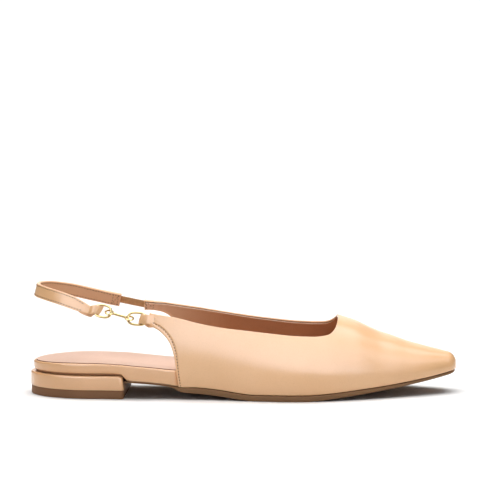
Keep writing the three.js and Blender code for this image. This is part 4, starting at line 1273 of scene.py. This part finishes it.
def stitchTree():
    tree = bpy.data.node_groups.new("stitchesAlongPath", "GeometryNodeTree")
    sockets = tree.interface
    sockets.new_socket("Path", in_out="INPUT", socket_type="NodeSocketGeometry")
    for name in ("Pitch", "Length", "Radius", "Wander"):
        sockets.new_socket(name, in_out="INPUT", socket_type="NodeSocketFloat")
    sockets.new_socket("Seed", in_out="INPUT", socket_type="NodeSocketInt")
    sockets.new_socket("Stitches", in_out="OUTPUT", socket_type="NodeSocketGeometry")
    given = addNode(tree, "NodeGroupInput").outputs
    line = addNode(tree, "GeometryNodeMeshToCurve", links={"Mesh": given["Path"]})
    even = addNode(tree, "GeometryNodeResampleCurve",
                   links={"Curve": line.outputs[0], "Length": given["Pitch"]}, mode="LENGTH")
    tangent = addNode(tree, "GeometryNodeInputTangent")
    turned = addNode(tree, "FunctionNodeAlignRotationToVector", links={"Vector": tangent.outputs[0]}, axis="X")
    bead = addNode(tree, "GeometryNodeMeshUVSphere", {"Segments": 8, "Rings": 6, "Radius": 1.0})
    halfLength = addNode(tree, "ShaderNodeMath", {1: 0.5}, {0: given["Length"]}, operation="MULTIPLY")
    size = addNode(tree, "ShaderNodeCombineXYZ",
                   links={"X": halfLength.outputs[0], "Y": given["Radius"], "Z": given["Radius"]})
    shaped = addNode(tree, "GeometryNodeTransform",
                     links={"Geometry": bead.outputs[0], "Scale": size.outputs[0]})
    shorter = addNode(tree, "ShaderNodeMath", {0: 1.0}, {1: given["Wander"]}, operation="SUBTRACT")
    random = addNode(tree, "FunctionNodeRandomValue", {3: 1.0},
                     {2: shorter.outputs[0], 8: given["Seed"]}, data_type="FLOAT")
    placed = addNode(tree, "GeometryNodeInstanceOnPoints",
                     links={"Points": even.outputs[0], "Instance": shaped.outputs[0],
                            "Rotation": turned.outputs[0], "Scale": random.outputs[1]})
    real = addNode(tree, "GeometryNodeRealizeInstances", links={"Geometry": placed.outputs[0]})
    # the thread's colour carries painted shade of the needle holes
    coloured = addNode(tree, "GeometryNodeSetMaterial", {"Material": threadWithHoleShade}, {"Geometry": real.outputs[0]})
    addNode(tree, "NodeGroupOutput", links={"Stitches": coloured.outputs[0]})
    return tree


stitches = stitchTree()
stitchSockets = {item.name: item.identifier for item in stitches.interface.items_tree
                 if item.item_type == "SOCKET" and item.in_out == "INPUT"}


def sewRow(name, points):
    mesh = bpy.data.meshes.new(name)
    points = toFrame(points)
    mesh.from_pydata(points.tolist(), [(i, i + 1) for i in range(len(points) - 1)], [])
    row = newObject(name, mesh)
    sewing = row.modifiers.new("stitches", "NODES")
    sewing.node_group = stitches
    for setting, value in stitch.items():
        inMetres = value * mm if setting in ("pitch", "length", "radius") else value
        sewing[stitchSockets[setting.capitalize()]] = inMetres
    bakePiece(row)
    row.data.shade_smooth()
    return seatPiece(row)


def strapSpot(share, face, across):    # a spot on the strap's face, across as a share of half the sewn width
    origin, u, v, w = strapFrame(share)
    i = int(round(share * (len(strapProfiles) - 1)))
    halfThick = max(p for p, q in strapProfiles[i])
    halfWide = max(q for p, q in strapProfiles[i]) + strapDrops[i]
    return (origin + v * face * (halfThick - strap["grooveDepth"] + 0.1)
            + w * (across * (halfWide - strap["stitchInset"]) - strapDrops[i]))


for face, faceName in ((1, "Outside"), (-1, "Inside")):
    for row, rowName in ((1, "Top"), (-1, "Low")):
        sewRow(f"strapStitches{faceName}{rowName}",
               [strapSpot(s, face, row) for s in np.linspace(0.05, 0.985, 160)])
    # a sewn box with one diagonal holds the elastic in the strap's far end
    box = [(0.985, -1), (0.985, 1), (0.955, -1), (0.955, 1)]
    sewRow(f"strapBox{faceName}", [strapSpot(a[0] + (b[0] - a[0]) * t, face, a[1] + (b[1] - a[1]) * t)
                                   for a, b in zip(box, box[1:]) for t in np.linspace(0, 1, 12)])

for side in sides:
    sewRow(f"wingStitches{side.capitalize()}", wingLines[side])


def pocketSpot(x, share):        # on the inner face of the inner wing's end
    angles = [angleAtHeight(x, h * shoe["throatHeight"]) for h in (wingEdgeForm["inner"][1][1] + 0.025,
                                                                   topline["inner"](shareOf(x)) - 0.025)]
    point = upperPoint("inner", x, angles[0] + (angles[1] - angles[0]) * share)
    return point + (0, -wallAt("inner", x) - 0.1, 0)


pocketXs = (wingEndX("inner") + 1.2, wingEndX("inner") + 5.6)
pocketBox = [(pocketXs[0], 0), (pocketXs[0], 1), (pocketXs[1], 0), (pocketXs[1], 1)]
sewRow("pocketStitches", [pocketSpot(a[0] + (b[0] - a[0]) * t, a[1] + (b[1] - a[1]) * t)
                          for a, b in zip(pocketBox, pocketBox[1:]) for t in np.linspace(0, 1, 12)])
print("stitches sewn")

# Studio: pale floor, a bright backdrop on each side and soft boxes overhead. Pale cards in front and dark
# felt beside them only show as reflections, in the leather's gloss and in the metal.
studio = {
    "floor": 9.0, "panelAt": 6.0, "panelHigh": 5.0, "panelGlow": 1.0,
    "cardTint": "#DEE9FF", "cardReach": 1.6, "cardHalf": 1.6, "cardAt": 0.1,
    "cards": {"lowCard": (2, 18, 7.8), "midCard": (18, 45, 6.9), "highCard": (45, 75, 5.8),
              "topCard": (75, 125, 3.4)},                     # from and to in degrees, and the glow
    "felts": {"wideFelt": [(-1.5, -0.2, 0.001), (1.7, -0.2, 0.001), (1.7, -0.2, 0.022), (-1.5, -0.2, 0.022)],
              "linkFelt": [(0.0, -0.07, 0.032), (0.048, -0.07, 0.032), (0.048, -0.07, 0.096), (0.0, -0.07, 0.096)],
              "heelFelt": [(-0.3, 0.0, 0.001), (-0.3, 1.2, 0.001), (-0.3, 1.2, 0.5), (-0.3, 0.0, 0.5)],
              "toeFelt": [(0.5, 0.0, 0.001), (0.5, 1.2, 0.001), (0.5, 1.2, 0.5), (0.5, 0.0, 0.5)]},
}
paper, paperTree, paperShader, _ = startMaterial("whitePaper")
setInputs(paperTree, paperShader, {
    "Base Color": linear("#EDEDEC"), "Roughness": 0.9, "Specular IOR Level": 0.1})


def glowing(name, strength, tint="#FFFFFF"):     # lit from within
    material, tree, shader, _ = startMaterial(name)
    setInputs(tree, shader, {"Base Color": linear("#000000"), "Emission Color": linear(tint),
                             "Emission Strength": strength})
    material.cycles.emission_sampling = "NONE"      # so that the felts hide the cards from the metal
    return material


def stageSheet(name, corners, finish):
    sheetMesh = bpy.data.meshes.new(name)
    sheetMesh.from_pydata(corners, [], [(0, 1, 2, 3)])
    sheetMesh.materials.append(finish)
    sheet = newObject(name, sheetMesh)
    return sheet


wide, away, high = studio["floor"], studio["panelAt"], studio["panelHigh"]
stageSheet("studioFloor", [(-wide, -wide, 0), (wide, -wide, 0), (wide, wide, 0), (-wide, wide, 0)], paper)
panelFinish = glowing("litBackdrop", studio["panelGlow"])
for name, quarter in (("back", 0), ("left", 1), ("front", 2), ("right", 3)):     # one panel on each side
    turn = Matrix.Rotation(math.radians(90 * quarter), 3, "Z")
    panel = stageSheet(name + "Backdrop", [turn @ Vector(corner) for corner in [
        (-wide, away, -0.002), (wide, away, -0.002), (wide, away, high), (-wide, away, high)]], panelFinish)
    panel.visible_diffuse = panel.visible_shadow = False
    panel.visible_glossy = name == "back"
reflected = []
for name, (low, top, strength) in studio["cards"].items():
    (lowY, lowZ), (topY, topZ) = [(-studio["cardReach"] * math.cos(math.radians(rise)),
                                   studio["cardReach"] * math.sin(math.radians(rise))) for rise in (low, top)]
    left, right = studio["cardAt"] - studio["cardHalf"], studio["cardAt"] + studio["cardHalf"]
    card = stageSheet(name, [(left, lowY, lowZ), (right, lowY, lowZ), (right, topY, topZ), (left, topY, topZ)],
                      glowing(name + "Glow", strength, studio["cardTint"]))
    reflected.append(card)
for name, corners in studio["felts"].items():
    reflected.append(stageSheet(name, corners, glowing(name + "Black", 0.0)))
for sheet in reflected:
    sheet.visible_diffuse = sheet.visible_camera = sheet.visible_shadow = False

world = bpy.data.worlds.new("studioWorld")
world.use_nodes = True
world.node_tree.nodes["Background"].inputs["Color"].default_value = linear("#FFFFFF")
world.node_tree.nodes["Background"].inputs["Strength"].default_value = 0.15
bpy.context.scene.world = world

lamps = {
    "topBox": {"place": (0.1, 0.1, 1.6), "size": (2.0, 1.4), "watts": 31.5, "aim": (0.1, 0.1, 0.0)},
    "topBackBox": {"place": (0.1, 0.7, 1.6), "size": (2.4, 1.4), "watts": 18.5, "aim": (0.1, 0.3, 0.0)},
    "backFloorBox": {"place": (0.1, 4.2, 3.0), "size": (7.0, 4.2), "watts": 235.0, "aim": (0.1, 4.2, 0.0),
                     "spread": 70},
    "frontFloorBox": {"place": (0.1, -4.2, 3.0), "size": (7.0, 4.2), "watts": 200.0, "aim": (0.1, -4.2, 0.0),
                      "spread": 70},
}
for name, look in lamps.items():
    lamp = bpy.data.lights.new(name, "AREA")
    lamp.shape = "RECTANGLE"
    lamp.size, lamp.size_y = look["size"]
    lamp.energy = look["watts"]
    lamp.spread = math.radians(look.get("spread", 180))    # narrow, so that it only lights the floor
    holder = newObject(name, lamp)
    holder.visible_glossy = False
    holder.location = look["place"]
    towards = Vector(look["aim"]) - Vector(look["place"])
    holder.rotation_euler = towards.to_track_quat("-Z", "Y").to_euler()

view = {"lens": 195.0, "sensor": 36.0, "tilt": 6.2, "place": (0.0993, -1.5924, 0.2675)}
cameraData = bpy.data.cameras.new("camera")
cameraData.lens = view["lens"]
cameraData.sensor_width = view["sensor"]
cameraData.clip_end = 50.0
camera = newObject("camera", cameraData)
camera.location = view["place"]
camera.rotation_euler = (math.radians(90 - view["tilt"]), 0, 0)
bpy.context.scene.camera = camera
bpy.context.scene.view_settings.view_transform = "Standard"
print("studio made")
